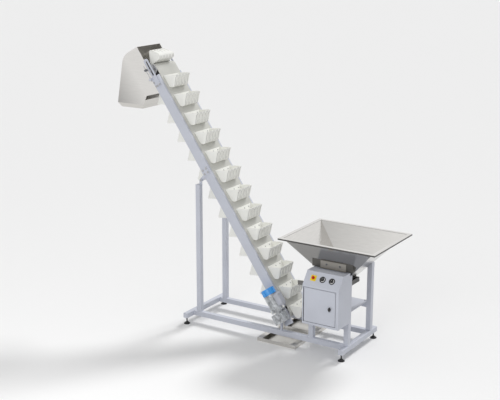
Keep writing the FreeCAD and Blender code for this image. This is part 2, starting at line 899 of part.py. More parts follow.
def gearmotor():
    """Gearbox on the tail shaft, finned motor up the incline, fan cover and terminal box."""
    outer = -gearbox_inner - gearbox_width
    edge = gearbox_edge
    housing = incline_plate([(gearbox_start, gearbox_low, edge), (gearbox_end, gearbox_low, edge),
                             (gearbox_end, gearbox_high, edge), (gearbox_start, gearbox_high, edge)],
                            outer, -gearbox_inner)
    boss = across(tail_x, tail_z, gearbox_boss_radius, -gearbox_inner - 1, -side_plate_outer)
    cover = across(tail_x, tail_z, gearbox_cover_radius, outer - gearbox_cover_height, outer + 1)
    motor_start = gearbox_end + motor_neck_length
    neck = incline_bar(gearbox_end - 1, motor_start, motor_line_y, motor_line_n, motor_neck_radius)
    bore = across(tail_x, tail_z, tail_shaft_radius + seat_gap, outer, 0)
    gearbox = housing.fuse([boss, cover, neck]).removeSplitter().cut(bore)
    body = motor_body(motor_start)
    cap = cylinder(FreeCAD.Vector(-motor_end_u - fan_cover_length, motor_line_y, motor_line_n),
                   x_axis, fan_cover_radius, fan_cover_length)
    rims = [edge for edge in cap.Edges
            if isinstance(edge.Curve, Part.Circle) and edge.CenterOfMass.x < -motor_end_u - 1]
    cap = on_incline(cap.makeFillet(fan_cover_edge, rims))
    terminal = terminal_box()
    bar_x = tail_x - torque_bar_setback
    bar = box(bar_x, bar_x + torque_bar_width, -rail_outer + torque_bar_inset,
              -rail_outer + torque_bar_inset + torque_bar_depth, base_top, tail_z)
    below = incline_box(gearbox_start - tail_z, gearbox_start, -rail_outer, 0,
                        gearbox_low - tail_z, gearbox_high + tail_z)
    return {
        "gearbox": [gearbox],
        "motor_body": [body],
        "motor_fan_cover": [cap],
        "motor_terminal_box": [terminal],
        "torque_bar": [bar.common(below)],
    }


def motor_body(start):
    """Motor barrel with straight cooling fins all round."""
    corners = []
    step = 2 * math.pi / motor_fin_count
    for index in range(motor_fin_count):
        for share, radius in ((0.0, motor_fin_root), (0.45, motor_fin_root),
                              (0.6, motor_fin_tip), (0.85, motor_fin_tip)):
            angle = (index + share) * step
            corners.append((radius * math.cos(angle), radius * math.sin(angle), 0))
    barrel = Part.Face(rounded_wire(corners)).extrude(FreeCAD.Vector(0, 0, motor_end_u - start))
    barrel.rotate(zero, y_axis, -90)
    barrel.translate(FreeCAD.Vector(-start, motor_line_y, motor_line_n))
    return on_incline(barrel)


def terminal_box():
    """Rounded terminal box on the upper side of the motor, cut to sit on its fins."""
    block = box(-terminal_box_u - terminal_box_length, -terminal_box_u,
                motor_line_y - terminal_box_half_width, motor_line_y + terminal_box_half_width,
                motor_line_n, terminal_box_top)
    block = block.makeFillet(terminal_box_edge, edges_along(block, z_axis))
    rims = [edge for edge in block.Edges if edge.BoundBox.ZMin > terminal_box_top - 1]
    block = block.makeFillet(terminal_box_top_edge, rims)
    barrel = cylinder(FreeCAD.Vector(-terminal_box_u - terminal_box_length - 1, motor_line_y, motor_line_n),
                      x_axis, motor_fin_tip, terminal_box_length + 2)
    return on_incline(block.cut(barrel))


def tail_supports():
    """Angle bracket from the rear rail to the rear side plate, and the rear shaft bearing."""
    left = tail_x - tail_support_setback
    right = left + tail_support_width
    thickness = tail_support_thickness
    foot = box(left, right, -rail_inner - tail_support_lap, -side_plate_outer,
               base_top, base_top + thickness)
    upright = box(left, right, -side_plate_outer - thickness, -side_plate_outer,
                  base_top, base_top + tail_support_height)
    bracket = foot.fuse(upright).removeSplitter()
    half = bearing_size / 2
    corner = bearing_size / 6
    flange = incline_plate([(-half, -half, corner), (half, -half, corner),
                            (half, half, corner), (-half, half, corner)],
                           side_plate_outer, side_plate_outer + bearing_flange)
    hub = across(tail_x, tail_z, bearing_hub_radius, side_plate_outer, side_plate_outer + bearing_hub_length)
    bore = across(tail_x, tail_z, tail_shaft_radius + seat_gap, 0, rail_outer)
    return {
        "tail_support": [rear_copy(bracket)],
        "tail_bearing": [flange.fuse(hub).removeSplitter().cut(bore)],
    }


def drip_trays():
    """Two open trays on the floor under the tail, each with a folded flange at its ends."""
    x0 = tail_x - tray_from_tail
    x1 = x0 + tray_length
    y0 = -tray_gap / 2 - tray_width
    y1 = -tray_gap / 2
    sheet = tray_sheet
    block = box(x0, x1, y0, y1, 0, tray_height)
    inside = box(x0 + sheet, x1 - sheet, y0 + sheet, y1 - sheet, sheet, tray_height - sheet)
    mouth = box(x0 + tray_flange, x1 - tray_flange, y0 + sheet, y1 - sheet, sheet, tray_height + 1)
    tray = block.cut(inside.fuse(mouth))
    return {"drip_trays": [tray, rear_copy(tray)]}


def hopper_slopes():
    """Inward fall of the hopper's walls per millimetre of depth, along X and along Y."""
    along = (wall_half_length - mouth_half_length) / (wall_top - mouth_z)
    run = wall_half_width - rail_inner - tube_edge
    rise = wall_top - stand_top + tube_edge
    lean = math.atan2(run, rise) + math.asin((tube_edge + seat_gap) / math.hypot(run, rise))
    return along, math.tan(lean)


def hopper_half(z):
    """Outer half length and half width of the hopper at a height."""
    slope_x, slope_y = hopper_slopes()
    drop = wall_top - z
    return wall_half_length - slope_x * drop, wall_half_width - slope_y * drop


def hopper():
    """Four-sided shell on the stand's beams, with a flanged rim and a short neck."""
    slope_x, slope_y = hopper_slopes()
    thick_x = hopper_sheet * math.hypot(slope_x, 1)
    thick_y = hopper_sheet * math.hypot(slope_y, 1)
    mouth_x, mouth_y = hopper_half(mouth_z)
    outer = Part.makeLoft([slab(mouth_x, mouth_y, mouth_z, hopper_x),
                           slab(wall_half_length, wall_half_width, wall_top, hopper_x)], True, True)
    inner = Part.makeLoft([slab(mouth_x - thick_x, mouth_y - thick_y, mouth_z, hopper_x),
                           slab(wall_half_length - thick_x, wall_half_width - thick_y,
                                wall_top, hopper_x)], True, True)
    neck = box(hopper_x - mouth_x, hopper_x + mouth_x, -mouth_y, mouth_y, neck_bottom, mouth_z)
    throat = box(hopper_x - mouth_x + thick_x, hopper_x + mouth_x - thick_x,
                 -mouth_y + thick_y, mouth_y - thick_y, neck_bottom, mouth_z)
    shell = outer.cut(inner).fuse(neck.cut(throat)).removeSplitter()
    hole_x = wall_half_length - thick_x
    hole_y = wall_half_width - thick_y
    flange = box(hopper_x - rim_half_length, hopper_x + rim_half_length,
                 -rim_half_width, rim_half_width, rim_top - rim_lip, rim_top)
    under = box(hopper_x - rim_half_length + hopper_sheet, hopper_x + rim_half_length - hopper_sheet,
                -rim_half_width + hopper_sheet, rim_half_width - hopper_sheet,
                rim_top - rim_lip, wall_top)
    opening = box(hopper_x - hole_x, hopper_x + hole_x, -hole_y, hole_y, wall_top, rim_top)
    rim = flange.cut(under).cut(opening)
    return {
        "hopper_shell": [shell],
        "hopper_rim": [rim],
    }


def hopper_bracket():
    """Wedge stiffener on the front wall and the flat plate bolted to it."""
    low_y = hopper_half(stiffener_bottom)[1]
    high_y = hopper_half(stiffener_top)[1]
    wedge = profile_along_x([(-high_y, stiffener_top, 0), (-high_y, stiffener_bottom, 0),
                             (-low_y, stiffener_bottom, 0)],
                            hopper_x - stiffener_left, hopper_x + stiffener_right)
    left = hopper_x - mounting_plate_left
    right = hopper_x + mounting_plate_right
    face = -high_y - mounting_plate_thickness
    upright = box(left, right, face, -high_y, stiffener_bottom, stiffener_bottom + mounting_plate_height)
    lip = box(left, right, face - mounting_plate_lip, face, stiffener_bottom,
              stiffener_bottom + mounting_plate_thickness / 2)
    return {
        "hopper_stiffener": [wedge],
        "hopper_mounting_plate": [upright.fuse(lip).removeSplitter()],
    }


def tilted_with_pan(solid):
    """Set a piece made level about the pan's rim on the pan's slope."""
    placed = solid.copy()
    placed.rotate(zero, y_axis, -pan_slope)
    placed.translate(FreeCAD.Vector(hopper_x, 0, mouth_z - pan_rim_drop))
    return placed


def feeder():
    """Sloped pan that feeds the buckets, on a vibrating drive with leaf springs."""
    end = (mouth_half_length + pan_end_gap) / math.cos(math.radians(pan_slope))
    envelope = tilted_with_pan(box(-pan_reach, end, -pan_half_width, pan_half_width, -pan_depth, 0))
    inside = tilted_with_pan(box(-pan_reach - 1, end - pan_sheet, -pan_half_width + pan_sheet,
                                 pan_half_width - pan_sheet, -pan_depth + pan_sheet, 1))
    pan = envelope.cut(inside)
    right = hopper_x + drive_back
    left = right - drive_length
    base_z = shelf_top + drive_foot_height
    block = box(left, right, -drive_half_width, drive_half_width, base_z, base_z + drive_height)
    block = block.makeFillet(drive_foot_inset / 3, edges_along(block, z_axis))
    parts = []
    for x in (left + drive_foot_inset, right - drive_foot_inset):
        for y in (-drive_half_width + drive_foot_inset, drive_half_width - drive_foot_inset):
            parts.append(cylinder(FreeCAD.Vector(x, y, shelf_top), z_axis, drive_foot_radius,
                                  drive_foot_height + 1))
    above = tilted_with_pan(box(-pan_reach, pan_reach, -pan_half_width, pan_half_width,
                                -pan_depth, pan_reach))
    rise = mouth_z - base_z
    shift = rise * math.tan(math.radians(spring_lean))
    for x in (left, right - 2 * spring_thickness):
        spring = plate([(x, base_z + 5, 0), (x + spring_thickness, base_z + 5, 0),
                        (x + spring_thickness + shift, base_z + 5 + rise, 0),
                        (x + shift, base_z + 5 + rise, 0)], -spring_half_width, spring_half_width)
        parts.append(spring.cut(above))
    return {
        "feeder_pan": [pan],
        "feeder_drive": [block.fuse(parts).removeSplitter()],
    }


def cabinet():
    """Sheet cabinet with a sloped control panel, mitred along its folds."""
    front_top = cabinet_base + cabinet_front_height
    roof_front = -rail_outer - cabinet_roof_depth
    outer = [
        FreeCAD.Vector(cabinet_front, cabinet_base, 0),
        FreeCAD.Vector(-rail_outer, cabinet_base, 0),
        FreeCAD.Vector(-rail_outer, cabinet_top, 0),
        FreeCAD.Vector(roof_front, cabinet_top, 0),
        FreeCAD.Vector(cabinet_front, front_top, 0),
    ]
    inner = offset_outline(outer, cabinet_sheet)
    left = cabinet_left + cabinet_sheet
    right = cabinet_right - cabinet_sheet
    strips = []
    for index in range(len(outer)):
        following = (index + 1) % len(outer)
        corners = [outer[index], outer[following], inner[following], inner[index]]
        strips.append(profile_along_x([(point.x, point.y, 0) for point in corners], left, right))
    floor, back, roof, panel, front = strips
    section = [(point.x, point.y, 0) for point in outer]
    sides = [profile_along_x(section, cabinet_left, left), profile_along_x(section, right, cabinet_right)]
    aperture = box(door_left - door_hinge_gap, door_right + door_gap, cabinet_front - 1,
                   cabinet_front + cabinet_sheet + 1, door_bottom - door_gap, door_top + door_gap)
    return {
        "cabinet_side_panels": sides,
        "cabinet_floor": [floor],
        "cabinet_back_panel": [back],
        "cabinet_roof": [roof],
        "control_panel": [panel],
        "cabinet_front_frame": [front.cut(aperture)],
    }


def cabinet_door():
    """Flat door rolled round its hinge pins on the left, with a quarter-turn latch."""
    skin = box(hinge_x, door_right, cabinet_front, cabinet_front + door_thickness, door_bottom, door_top)
    roll = cylinder(FreeCAD.Vector(hinge_x, hinge_y, door_bottom), z_axis, hinge_tube_radius,
                    door_top - door_bottom)
    bore = cylinder(FreeCAD.Vector(hinge_x, hinge_y, door_bottom), z_axis, hinge_pin_radius + seat_gap,
                    door_top - door_bottom)
    latch_hole = across(latch_x, latch_z, latch_stem_radius + seat_gap, cabinet_front - 1,
                        cabinet_front + door_thickness + 1)
    door = skin.fuse(roll).removeSplitter().cut(bore).cut(latch_hole)
    pins = []
    inner_face = cabinet_front + cabinet_sheet
    for edge, sign in ((door_bottom - door_gap, 1), (door_top + door_gap, -1)):
        low, high = sorted((edge, edge - sign * hinge_lug_height))
        lug = box(hinge_x - hinge_tube_radius, hinge_x + hinge_tube_radius, inner_face,
                  hinge_y + hinge_tube_radius, low, high)
        tip = edge + sign * hinge_pin_length
        pin = cylinder(FreeCAD.Vector(hinge_x, hinge_y, min(edge - sign, tip)), z_axis,
                       hinge_pin_radius, abs(tip - edge) + 1)
        pins.append(lug.fuse(pin).removeSplitter())
    return {
        "cabinet_door": [door],
        "door_hinge_pins": pins,
        "door_latch": [door_latch()],
    }


def door_latch():
    """Handle, stem and cam; the cam points up when the door is free."""
    face = cabinet_front - seat_gap
    cam_front = cabinet_front + cabinet_sheet + latch_cam_clearance
    cam_back = cam_front + latch_cam_thickness
    half = latch_cam_width / 2
    stem = across(latch_x, latch_z, latch_stem_radius, face - latch_collar_height, cam_back)
    collar = across(latch_x, latch_z, latch_collar_radius, face - latch_collar_height, face)
    wide = latch_handle_half_width
    tall = latch_handle_half_height
    handle = plate([(latch_x - wide, latch_z, wide / 2), (latch_x, latch_z - tall, wide / 4),
                    (latch_x + wide, latch_z, wide / 2), (latch_x, latch_z + tall, wide / 4)],
                   face - latch_collar_height - latch_handle_depth, face - latch_collar_height)
    cam = plate([(latch_x - half, latch_z - half, half / 2), (latch_x + half, latch_z - half, half / 2),
                 (latch_x + half, latch_z - half + latch_cam_length, half / 2),
                 (latch_x - half, latch_z - half + latch_cam_length, half / 2)], cam_front, cam_back)
    return stem.fuse([collar, handle, cam]).removeSplitter()


def on_panel(solid, x):
    """Set a piece made about the Z axis on the control panel, at a place along it."""
    rise = cabinet_height - cabinet_front_height
    run = cabinet_depth - cabinet_roof_depth
    length = math.hypot(rise, run)
    placed = solid.copy()
    placed.rotate(zero, x_axis, math.degrees(math.atan2(rise, run)))
    placed.translate(FreeCAD.Vector(x, cabinet_front + run * control_row_height / length,
                                    cabinet_base + cabinet_front_height + rise * control_row_height / length))
    return placed


def controls():
    """Main switch and two speed dials on the sloped panel."""
    half = switch_plate_size / 2
    edge = switch_plate_edge
    outline = rounded_wire([(-half, -half, edge), (half, -half, edge), (half, half, edge), (-half, half, edge)])
    switch_plate = Part.Face(outline).extrude(FreeCAD.Vector(0, 0, switch_plate_height))
    stem_bore = cylinder(FreeCAD.Vector(0, 0, -1), z_axis, knob_stem_radius + seat_gap, 2 * knob_height)
    switch_plate = switch_plate.cut(stem_bore)
    lift = switch_plate_height + knob_lift
    disc = cylinder(FreeCAD.Vector(0, 0, lift), z_axis, switch_knob_radius, switch_knob_height)
    rims = [rim for rim in disc.Edges
            if isinstance(rim.Curve, Part.Circle) and rim.CenterOfMass.z > lift + 1]
    disc = disc.makeChamfer(2, rims)
    grip = box(-switch_grip_width / 2, switch_grip_width / 2, -switch_knob_radius + 1,
               switch_knob_radius - 1, lift, lift + switch_knob_height + switch_grip_height)
    stem = cylinder(FreeCAD.Vector(0, 0, seat_gap), z_axis, knob_stem_radius, lift + 1)
    switch_knob = disc.fuse([grip, stem]).removeSplitter()
    bezel = cylinder(zero, z_axis, dial_radius, dial_height)
    recess = cylinder(FreeCAD.Vector(0, 0, dial_height - dial_recess), z_axis, dial_face_radius, dial_height)
    bezel = bezel.cut(recess).cut(stem_bore)
    knob_base = dial_height - dial_recess + knob_lift
    knob = cylinder(FreeCAD.Vector(0, 0, knob_base), z_axis, knob_radius, knob_height)
    pointer = box(-knob_pointer_width / 2, knob_pointer_width / 2, 0,
                  knob_radius + knob_pointer_reach, knob_base, knob_base + knob_height / 3)
    knob_stem = cylinder(FreeCAD.Vector(0, 0, seat_gap), z_axis, knob_stem_radius, knob_base + 1)
    knob = knob.fuse([pointer, knob_stem]).removeSplitter()
    switch_x = cabinet_left + switch_from_left
    left_x = switch_x + control_spacing
    right_x = left_x + control_spacing
    return {
        "main_switch_plate": [on_panel(switch_plate, switch_x)],
        "main_switch_knob": [on_panel(switch_knob, switch_x)],
        "dial_bezels": [on_panel(bezel, left_x), on_panel(bezel, right_x)],
        "left_speed_knob": [on_panel(knob, left_x)],
        "right_speed_knob": [on_panel(knob, right_x)],
    }


def all_pieces():
    pieces = {}
    for section in (base_frame, tall_posts, hinge_brackets, stand, side_plates, drums, take_ups, belt,
                    buckets, hood, gearmotor, tail_supports, drip_trays, hopper, hopper_bracket,
                    feeder, cabinet, cabinet_door, controls):
        pieces.update(section())
    return pieces


def centre_shift(pieces):
    """Move that brings the middle of the model's footprint to the origin."""
    whole = FreeCAD.BoundBox()
    for solids in pieces.values():
        for solid in solids:
            whole.add(solid.optimalBoundingBox(False))
    return FreeCAD.Vector(-whole.Center.x, -whole.Center.y, -whole.ZMin)


pieces = all_pieces()
shift = centre_shift(pieces)
os.makedirs("parts", exist_ok=True)
for name, solids in pieces.items():
    shape = solids[0] if len(solids) == 1 else Part.makeCompound(solids)
    shape = shape.copy()
    shape.translate(shift)
    shape.exportStep("parts/" + name + ".step")
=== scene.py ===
import json
import math

import bpy
from mathutils import Matrix, Vector


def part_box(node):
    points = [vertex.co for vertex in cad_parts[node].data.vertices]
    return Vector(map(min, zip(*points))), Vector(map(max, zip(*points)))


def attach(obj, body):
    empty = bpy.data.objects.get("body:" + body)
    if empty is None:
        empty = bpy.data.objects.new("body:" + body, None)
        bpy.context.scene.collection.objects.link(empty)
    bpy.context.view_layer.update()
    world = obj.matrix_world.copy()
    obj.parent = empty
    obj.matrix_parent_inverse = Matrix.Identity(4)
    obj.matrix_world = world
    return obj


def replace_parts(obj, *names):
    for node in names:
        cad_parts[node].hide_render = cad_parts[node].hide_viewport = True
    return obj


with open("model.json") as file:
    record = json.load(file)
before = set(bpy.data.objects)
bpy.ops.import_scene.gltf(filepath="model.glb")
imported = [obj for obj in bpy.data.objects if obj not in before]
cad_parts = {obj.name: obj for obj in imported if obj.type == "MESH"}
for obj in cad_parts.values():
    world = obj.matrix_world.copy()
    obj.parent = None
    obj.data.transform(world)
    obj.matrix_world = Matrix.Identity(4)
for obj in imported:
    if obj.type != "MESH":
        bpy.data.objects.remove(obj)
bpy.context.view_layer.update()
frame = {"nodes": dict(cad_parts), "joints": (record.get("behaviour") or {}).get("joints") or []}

# Looks of the inclined bucket belt elevator, in metres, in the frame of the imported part.
# The conveyor's own directions: u up the incline from the tail shaft, n square to the belt.

# Camera of the photograph
camera_place = (6.34201, -10.0105, 4.69517)
camera_azimuth = 32.41
camera_elevation = 14.86
camera_roll = 0.08
camera_lens = 76.15
camera_sensor = 36.0
camera_reach = 400.0

# Studio
backdrop_grey = 0.871
lit_floor_grey = 0.70
seen_floor_grey = 0.865
ambient_grey = 0.55
floor_size = 160.0
floor_roughness = 0.9
key_from = (0.10, 0.70, 0.70)
key_strength = 1.95
key_spread = 16.0
fill_place = (1.6, -6.4, 4.0)
fill_target = (0.0, 0.0, 1.6)
fill_size = 4.0
fill_power = 110.0

# Belt and buckets
belt_outer = 0.068
belt_neutral = 0.066
bucket_count = 27
bucket_wall = 0.004
bucket_screw_radius = 0.004
bucket_bolt_spacing = 0.09
bucket_rib_spacing = 0.06
bucket_rib_width = 0.012
bucket_front_facing = (0.9, 0, -0.43)
# Painted shade in stripes beside the buckets' ribs
rib_shade_width = 0.012
rib_shade_tone = 0.45

# Painted shade and reflections on the sheet metal, and the colour drift of all finishes
tint_start = 0.32
tint_end = 0.68
painted_shade_blend = 0.12
hopper_reflection_end = 0.15
hopper_reflection_tone = 0.70
hood_reflection_slope = (0.80, 0, 0.60)
hood_reflection_reach = 0.42
hood_reflection_tone = 0.55

# Limits for picking faces and edges
flat = 0.99
close = 1e-5
plumb = 1e-6

# Bolts of the frame, by their places from the part they hold
fastener_spin = 0.4
bolt_radius = 0.006
small_bolt_radius = 0.005
bracket_bolts_u = (0.036, 0.084)
bracket_bolts_n = (0.022, -0.032)
web_setback = 0.09
web_bolts_u = (0.105, 0.055)
web_bolts_n = -0.046
tab_bolts_u = 0.11
tab_bolts_n = (0.018, -0.018)
support_bolts_x = (0.022, 0.068)
support_bolts_z = 0.045
bearing_thickness = 0.012
bearing_bolts = (-0.035, 0.035)
hopper_plate_face = 0.016
hopper_plate_bolt_z = 0.045
hopper_plate_margin = 0.075
shelf_margin_x = 0.03
shelf_margin_y = 0.02

# Take-up screws
take_up_rod_side = 0.248
take_up_rod_n = -0.0495
take_up_rod_start = 3.2612
take_up_rod_end = 3.330
take_up_rod_radius = 0.0046
take_up_rod_round = 0.001
take_up_thread_radius = 0.0052
take_up_thread_start = 0.026
take_up_thread_pitch = 0.004
take_up_thread_width = 0.0026
take_up_thread_round = 0.0008
take_up_thread_turns = 10
take_up_block_u = 3.272
take_up_block_setback = 0.012
take_up_block_low = (-0.013, -0.0168, 0)
take_up_block_high = (0.013, 0.0100, 0.024)
take_up_block_corner = 0.003
take_up_block_round = 0.002

# Fan cover
fan_cover_radius = 0.08
fan_cover_length = 0.075
fan_cover_round = 0.014
fan_cover_lobes = 9
fan_cover_sides_per_lobe = 8
fan_cover_groove = 0.007
fan_cover_groove_margin = 0.0012
fan_grille_steps = (0.008, 0.018, 0.006, 0.014, 0.006)
fan_grille_rings = ((0.036, 0.056), (0.014, 0.03))
fan_grille_bar_every = 4
fan_grille_margin = 0.0004
fan_grille_depth = 0.006
fan_hub_radius = 0.004

# Gear housing, its ribs and screws, and the motor's flange
gearbox_start = -0.076
gearbox_end = 0.046
gearbox_low = -0.073
gearbox_high = 0.060
gearbox_cover_height = 0.008
gearbox_cover_screws = 6
gearbox_cover_circle = 0.033
gearbox_cover_turn = 15
gearbox_corner_inset = 0.012
gearbox_screw_radius = 0.004
rib_half_width = 0.002
rib_round = 0.0015
front_rib_half_length = 0.038
front_rib_height = 0.006
front_ribs_low = (0.008, 0.018)
front_ribs_high = (0.006, 0.014)
side_rib_half_length = 0.046
side_rib_height = 0.007
side_rib_count = 7
side_rib_first = 0.026
side_rib_pitch = 0.0155
side_rib_sink = 0.0005
oil_plug_radius = 0.007
oil_plug_depth = 0.07
oil_plug_n = 0.02
motor_line_n = 0.022
motor_neck_length = 0.026
flange_half_size = 0.068
flange_thickness = 0.009
flange_corner = 0.02
flange_round = 0.002
flange_bolt_radius = 0.004
flange_bolt_spread = 0.052

# Terminal box and its gland
lid_screw_radius = 0.003
lid_screws_u = (0.128, 0.234)
lid_screws_y = (-0.019, 0.019)
lid_n = 0.1528
gland_place_u = 0.1005
gland_place_n = 0.122
gland_offset_y = 0.012
gland_nut_radius = 0.011
gland_nut_height = 0.010
gland_nut_round = 0.0015
gland_dome_radius = 0.009
gland_dome_base = 0.009
gland_dome_height = 0.018
gland_dome_round = 0.006

# Dials and knobs, from the foot of their axis
dial_joints = ("left_speed_turn", "right_speed_turn")
dial_mark_count = 11
dial_first_mark = -135
dial_mark_step = 27
dial_mark_low = (-0.0007, 0.0185, 0.003)
dial_mark_high = (0.0007, 0.0245, 0.0034)
# Silver crescent on each dial: a painted highlight on the bezel
crescent_width = 0.0062
crescent_height = 0.0006
crescent_seat = 0.0031
crescent_radius = 0.0216
crescent_start = 60.0
crescent_sweep = 180.0
crescent_steps = 20
crescent_merge = 0.00002
knob_line_low = (-0.001, 0.001, 0.0206)
knob_line_high = (0.001, 0.0115, 0.0212)
knob_line_round = 0.0002

# Welds at the posts' feet
tube = 0.06
weld_radius = 0.0035
weld_setback = 0.012
weld_tip_margin = 0.0012
weld_tip_height = 0.001


def centre_of(node):
    low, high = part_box(node)
    return (low + high) / 2


tail = centre_of("tail_drum")
head = centre_of("head_drum")
middle_y = centre_of("belt").y
side_plate_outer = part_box("conveyor_side_plates")[1].y - middle_y
bracket_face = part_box("hinge_brackets")[1].y - middle_y
tail.y = middle_y
head.y = middle_y
up_incline = (head - tail).normalized()
shaft_centres = (head - tail).length
off_belt = Vector((-up_incline.z, 0, up_incline.x))
if off_belt.z < 0:
    off_belt = -off_belt
front = Vector((0, -1, 0))
rear = Vector((0, 1, 0))
upward = Vector((0, 0, 1))


def on_incline(u, y, n):
    """Place of a point u up the incline, y behind the middle plane and n off the shafts' line."""
    return tail + up_incline * u + off_belt * n + Vector((0, y, 0))


# Shader helpers

# Sockets of a Mix node, which has the same names for each of its data types
mix_factor = 0
mix_number_a = 2
mix_number_b = 3
mix_number_out = 0
mix_colour_a = 6
mix_colour_b = 7
mix_colour_out = 2


def new_finish(name, colour, roughness, metallic=0.0):
    material = bpy.data.materials.new(name)
    material.use_nodes = True
    shader = material.node_tree.nodes["Principled BSDF"]
    shader.inputs["Base Color"].default_value = (*colour, 1)
    shader.inputs["Roughness"].default_value = roughness
    shader.inputs["Metallic"].default_value = metallic
    return material


def shader_of(material):
    return material.node_tree.nodes["Principled BSDF"]


def noise(material, scale, detail=3.0, stretch=(1, 1, 1)):
    """Noise on the object's own coordinates, stretched along its axes."""
    nodes = material.node_tree.nodes
    links = material.node_tree.links
    place = nodes.new("ShaderNodeTexCoord")
    mapping = nodes.new("ShaderNodeMapping")
    texture = nodes.new("ShaderNodeTexNoise")
    mapping.inputs["Scale"].default_value = stretch
    texture.inputs["Scale"].default_value = scale
    texture.inputs["Detail"].default_value = detail
    links.new(place.outputs["Object"], mapping.inputs["Vector"])
    links.new(mapping.outputs["Vector"], texture.inputs["Vector"])
    return texture.outputs["Fac"]


def tint(material, pattern, dark, light):
    """Base colour that drifts between two tones along a pattern."""
    nodes = material.node_tree.nodes
    links = material.node_tree.links
    ramp = nodes.new("ShaderNodeValToRGB")
    ramp.color_ramp.elements[0].position = tint_start
    ramp.color_ramp.elements[1].position = tint_end
    ramp.color_ramp.elements[0].color = (*dark, 1)
    ramp.color_ramp.elements[1].color = (*light, 1)
    links.new(pattern, ramp.inputs["Fac"])
    links.new(ramp.outputs["Color"], shader_of(material).inputs["Base Color"])


def roughen(material, pattern, low, high):
    """Roughness that drifts between two values along a pattern."""
    nodes = material.node_tree.nodes
    links = material.node_tree.links
    spread = nodes.new("ShaderNodeMapRange")
    spread.inputs["To Min"].default_value = low
    spread.inputs["To Max"].default_value = high
    links.new(pattern, spread.inputs["Value"])
    links.new(spread.outputs["Result"], shader_of(material).inputs["Roughness"])


def raise_surface(material, pattern, height, strength):
    """Fine relief in the shading, its height in metres."""
    nodes = material.node_tree.nodes
    links = material.node_tree.links
    bump = nodes.new("ShaderNodeBump")
    bump.inputs["Strength"].default_value = strength
    bump.inputs["Distance"].default_value = height
    links.new(pattern, bump.inputs["Height"])
    links.new(bump.outputs["Normal"], shader_of(material).inputs["Normal"])


def shade(colour, factor):
    return tuple(min(channel * factor, 1.0) for channel in colour)


def darken(material, mask):
    """Multiply the base colour by a mask."""
    links = material.node_tree.links
    both = material.node_tree.nodes.new("ShaderNodeMix")
    both.data_type = "RGBA"
    both.blend_type = "MULTIPLY"
    both.inputs[mix_factor].default_value = 1.0
    base = shader_of(material).inputs["Base Color"]
    links.new(base.links[0].from_socket, both.inputs[mix_colour_a])
    links.new(mask, both.inputs[mix_colour_b])
    links.new(both.outputs[mix_colour_out], base)


def dot_product(material, source, direction):
    """Share of a vector that lies along a direction."""
    share = material.node_tree.nodes.new("ShaderNodeVectorMath")
    share.operation = "DOT_PRODUCT"
    share.inputs[1].default_value = direction
    material.node_tree.links.new(source, share.inputs[0])
    return share.outputs["Value"]


def along_normal(material, direction):
    """How far a face looks along a direction, from -1 to 1."""
    facing = material.node_tree.nodes.new("ShaderNodeNewGeometry")
    return dot_product(material, facing.outputs["Normal"], direction)


def along_place(material, direction):
    """How far a point lies along a direction, in metres."""
    place = material.node_tree.nodes.new("ShaderNodeTexCoord")
    return dot_product(material, place.outputs["Object"], direction)


def ramp_mask(material, value, start, end, factor):
    """Mask that rises from a factor at one value to 1 at another."""
    nodes = material.node_tree.nodes
    links = material.node_tree.links
    spread = nodes.new("ShaderNodeMapRange")
    spread.inputs["From Min"].default_value = start
    spread.inputs["From Max"].default_value = end
    spread.inputs["To Min"].default_value = factor
    spread.inputs["To Max"].default_value = 1.0
    links.new(value, spread.inputs["Value"])
    return spread.outputs["Result"]


def only_where(material, wanted, mask):
    """Mask kept where wanted is 1 and let go to 1 where it is 0."""
    nodes = material.node_tree.nodes
    links = material.node_tree.links
    keep = nodes.new("ShaderNodeMix")
    keep.data_type = "FLOAT"
    keep.inputs[mix_number_a].default_value = 1.0
    links.new(wanted, keep.inputs[mix_factor])
    links.new(mask, keep.inputs[mix_number_b])
    return keep.outputs[mix_number_out]


# Painted shade and reflections on the finishes

def painted_shade_below(material, factor, level):
    """Painted shade: the faces that look down are darker by a factor."""
    facing = along_normal(material, upward)
    darken(material, ramp_mask(material, facing, level, level + painted_shade_blend, factor))


def hopper_rear_wall_reflection(material):
    """Painted reflection on the inside of the hopper's rear wall, darker towards the belt."""
    low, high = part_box("hopper_shell")
    run = along_place(material, Vector((1, 0, 0)))
    painted_reflection = ramp_mask(material, run, low.x, high.x - hopper_reflection_end, hopper_reflection_tone)
    wall = ramp_mask(material, along_normal(material, front), start=0.3, end=0.5, factor=0.0)
    inside = ramp_mask(material, along_normal(material, upward), start=0.1, end=0.2, factor=0.0)
    darken(material, only_where(material, inside, only_where(material, wall, painted_reflection)))


def hood_side_reflection(material):
    """Painted reflection: the hood's side darkens towards its lower outer corner."""
    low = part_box("hood_sides")[0]
    slope = Vector(hood_reflection_slope)
    start = Vector((low.x, 0, low.z)).dot(slope)
    run = along_place(material, slope)
    darken(material, ramp_mask(material, run, start, start + hood_reflection_reach, hood_reflection_tone))


def painted_shade_beside_ribs(material):
    """Painted shade in thin stripes on both sides of the ribs on the buckets' long walls."""
    nodes = material.node_tree.nodes
    links = material.node_tree.links
    place = nodes.new("ShaderNodeTexCoord")
    parts = nodes.new("ShaderNodeSeparateXYZ")
    links.new(place.outputs["Object"], parts.inputs["Vector"])
    value = parts.outputs["Y"]
    for operation, amount in (("SUBTRACT", middle_y),
                              ("PINGPONG", bucket_rib_spacing / 2),
                              ("SUBTRACT", bucket_rib_width / 2 + rib_shade_width / 2),
                              ("ABSOLUTE", 0.0)):
        step = nodes.new("ShaderNodeMath")
        step.operation = operation
        step.inputs[1].default_value = amount
        links.new(value, step.inputs[0])
        value = step.outputs["Value"]
    stripe = ramp_mask(material, value, 0.0, rib_shade_width / 2, rib_shade_tone)
    facing = along_normal(material, Vector(bucket_front_facing))
    wall = ramp_mask(material, facing, start=0.6, end=0.8, factor=0.0)
    darken(material, only_where(material, wall, stripe))


# Finishes

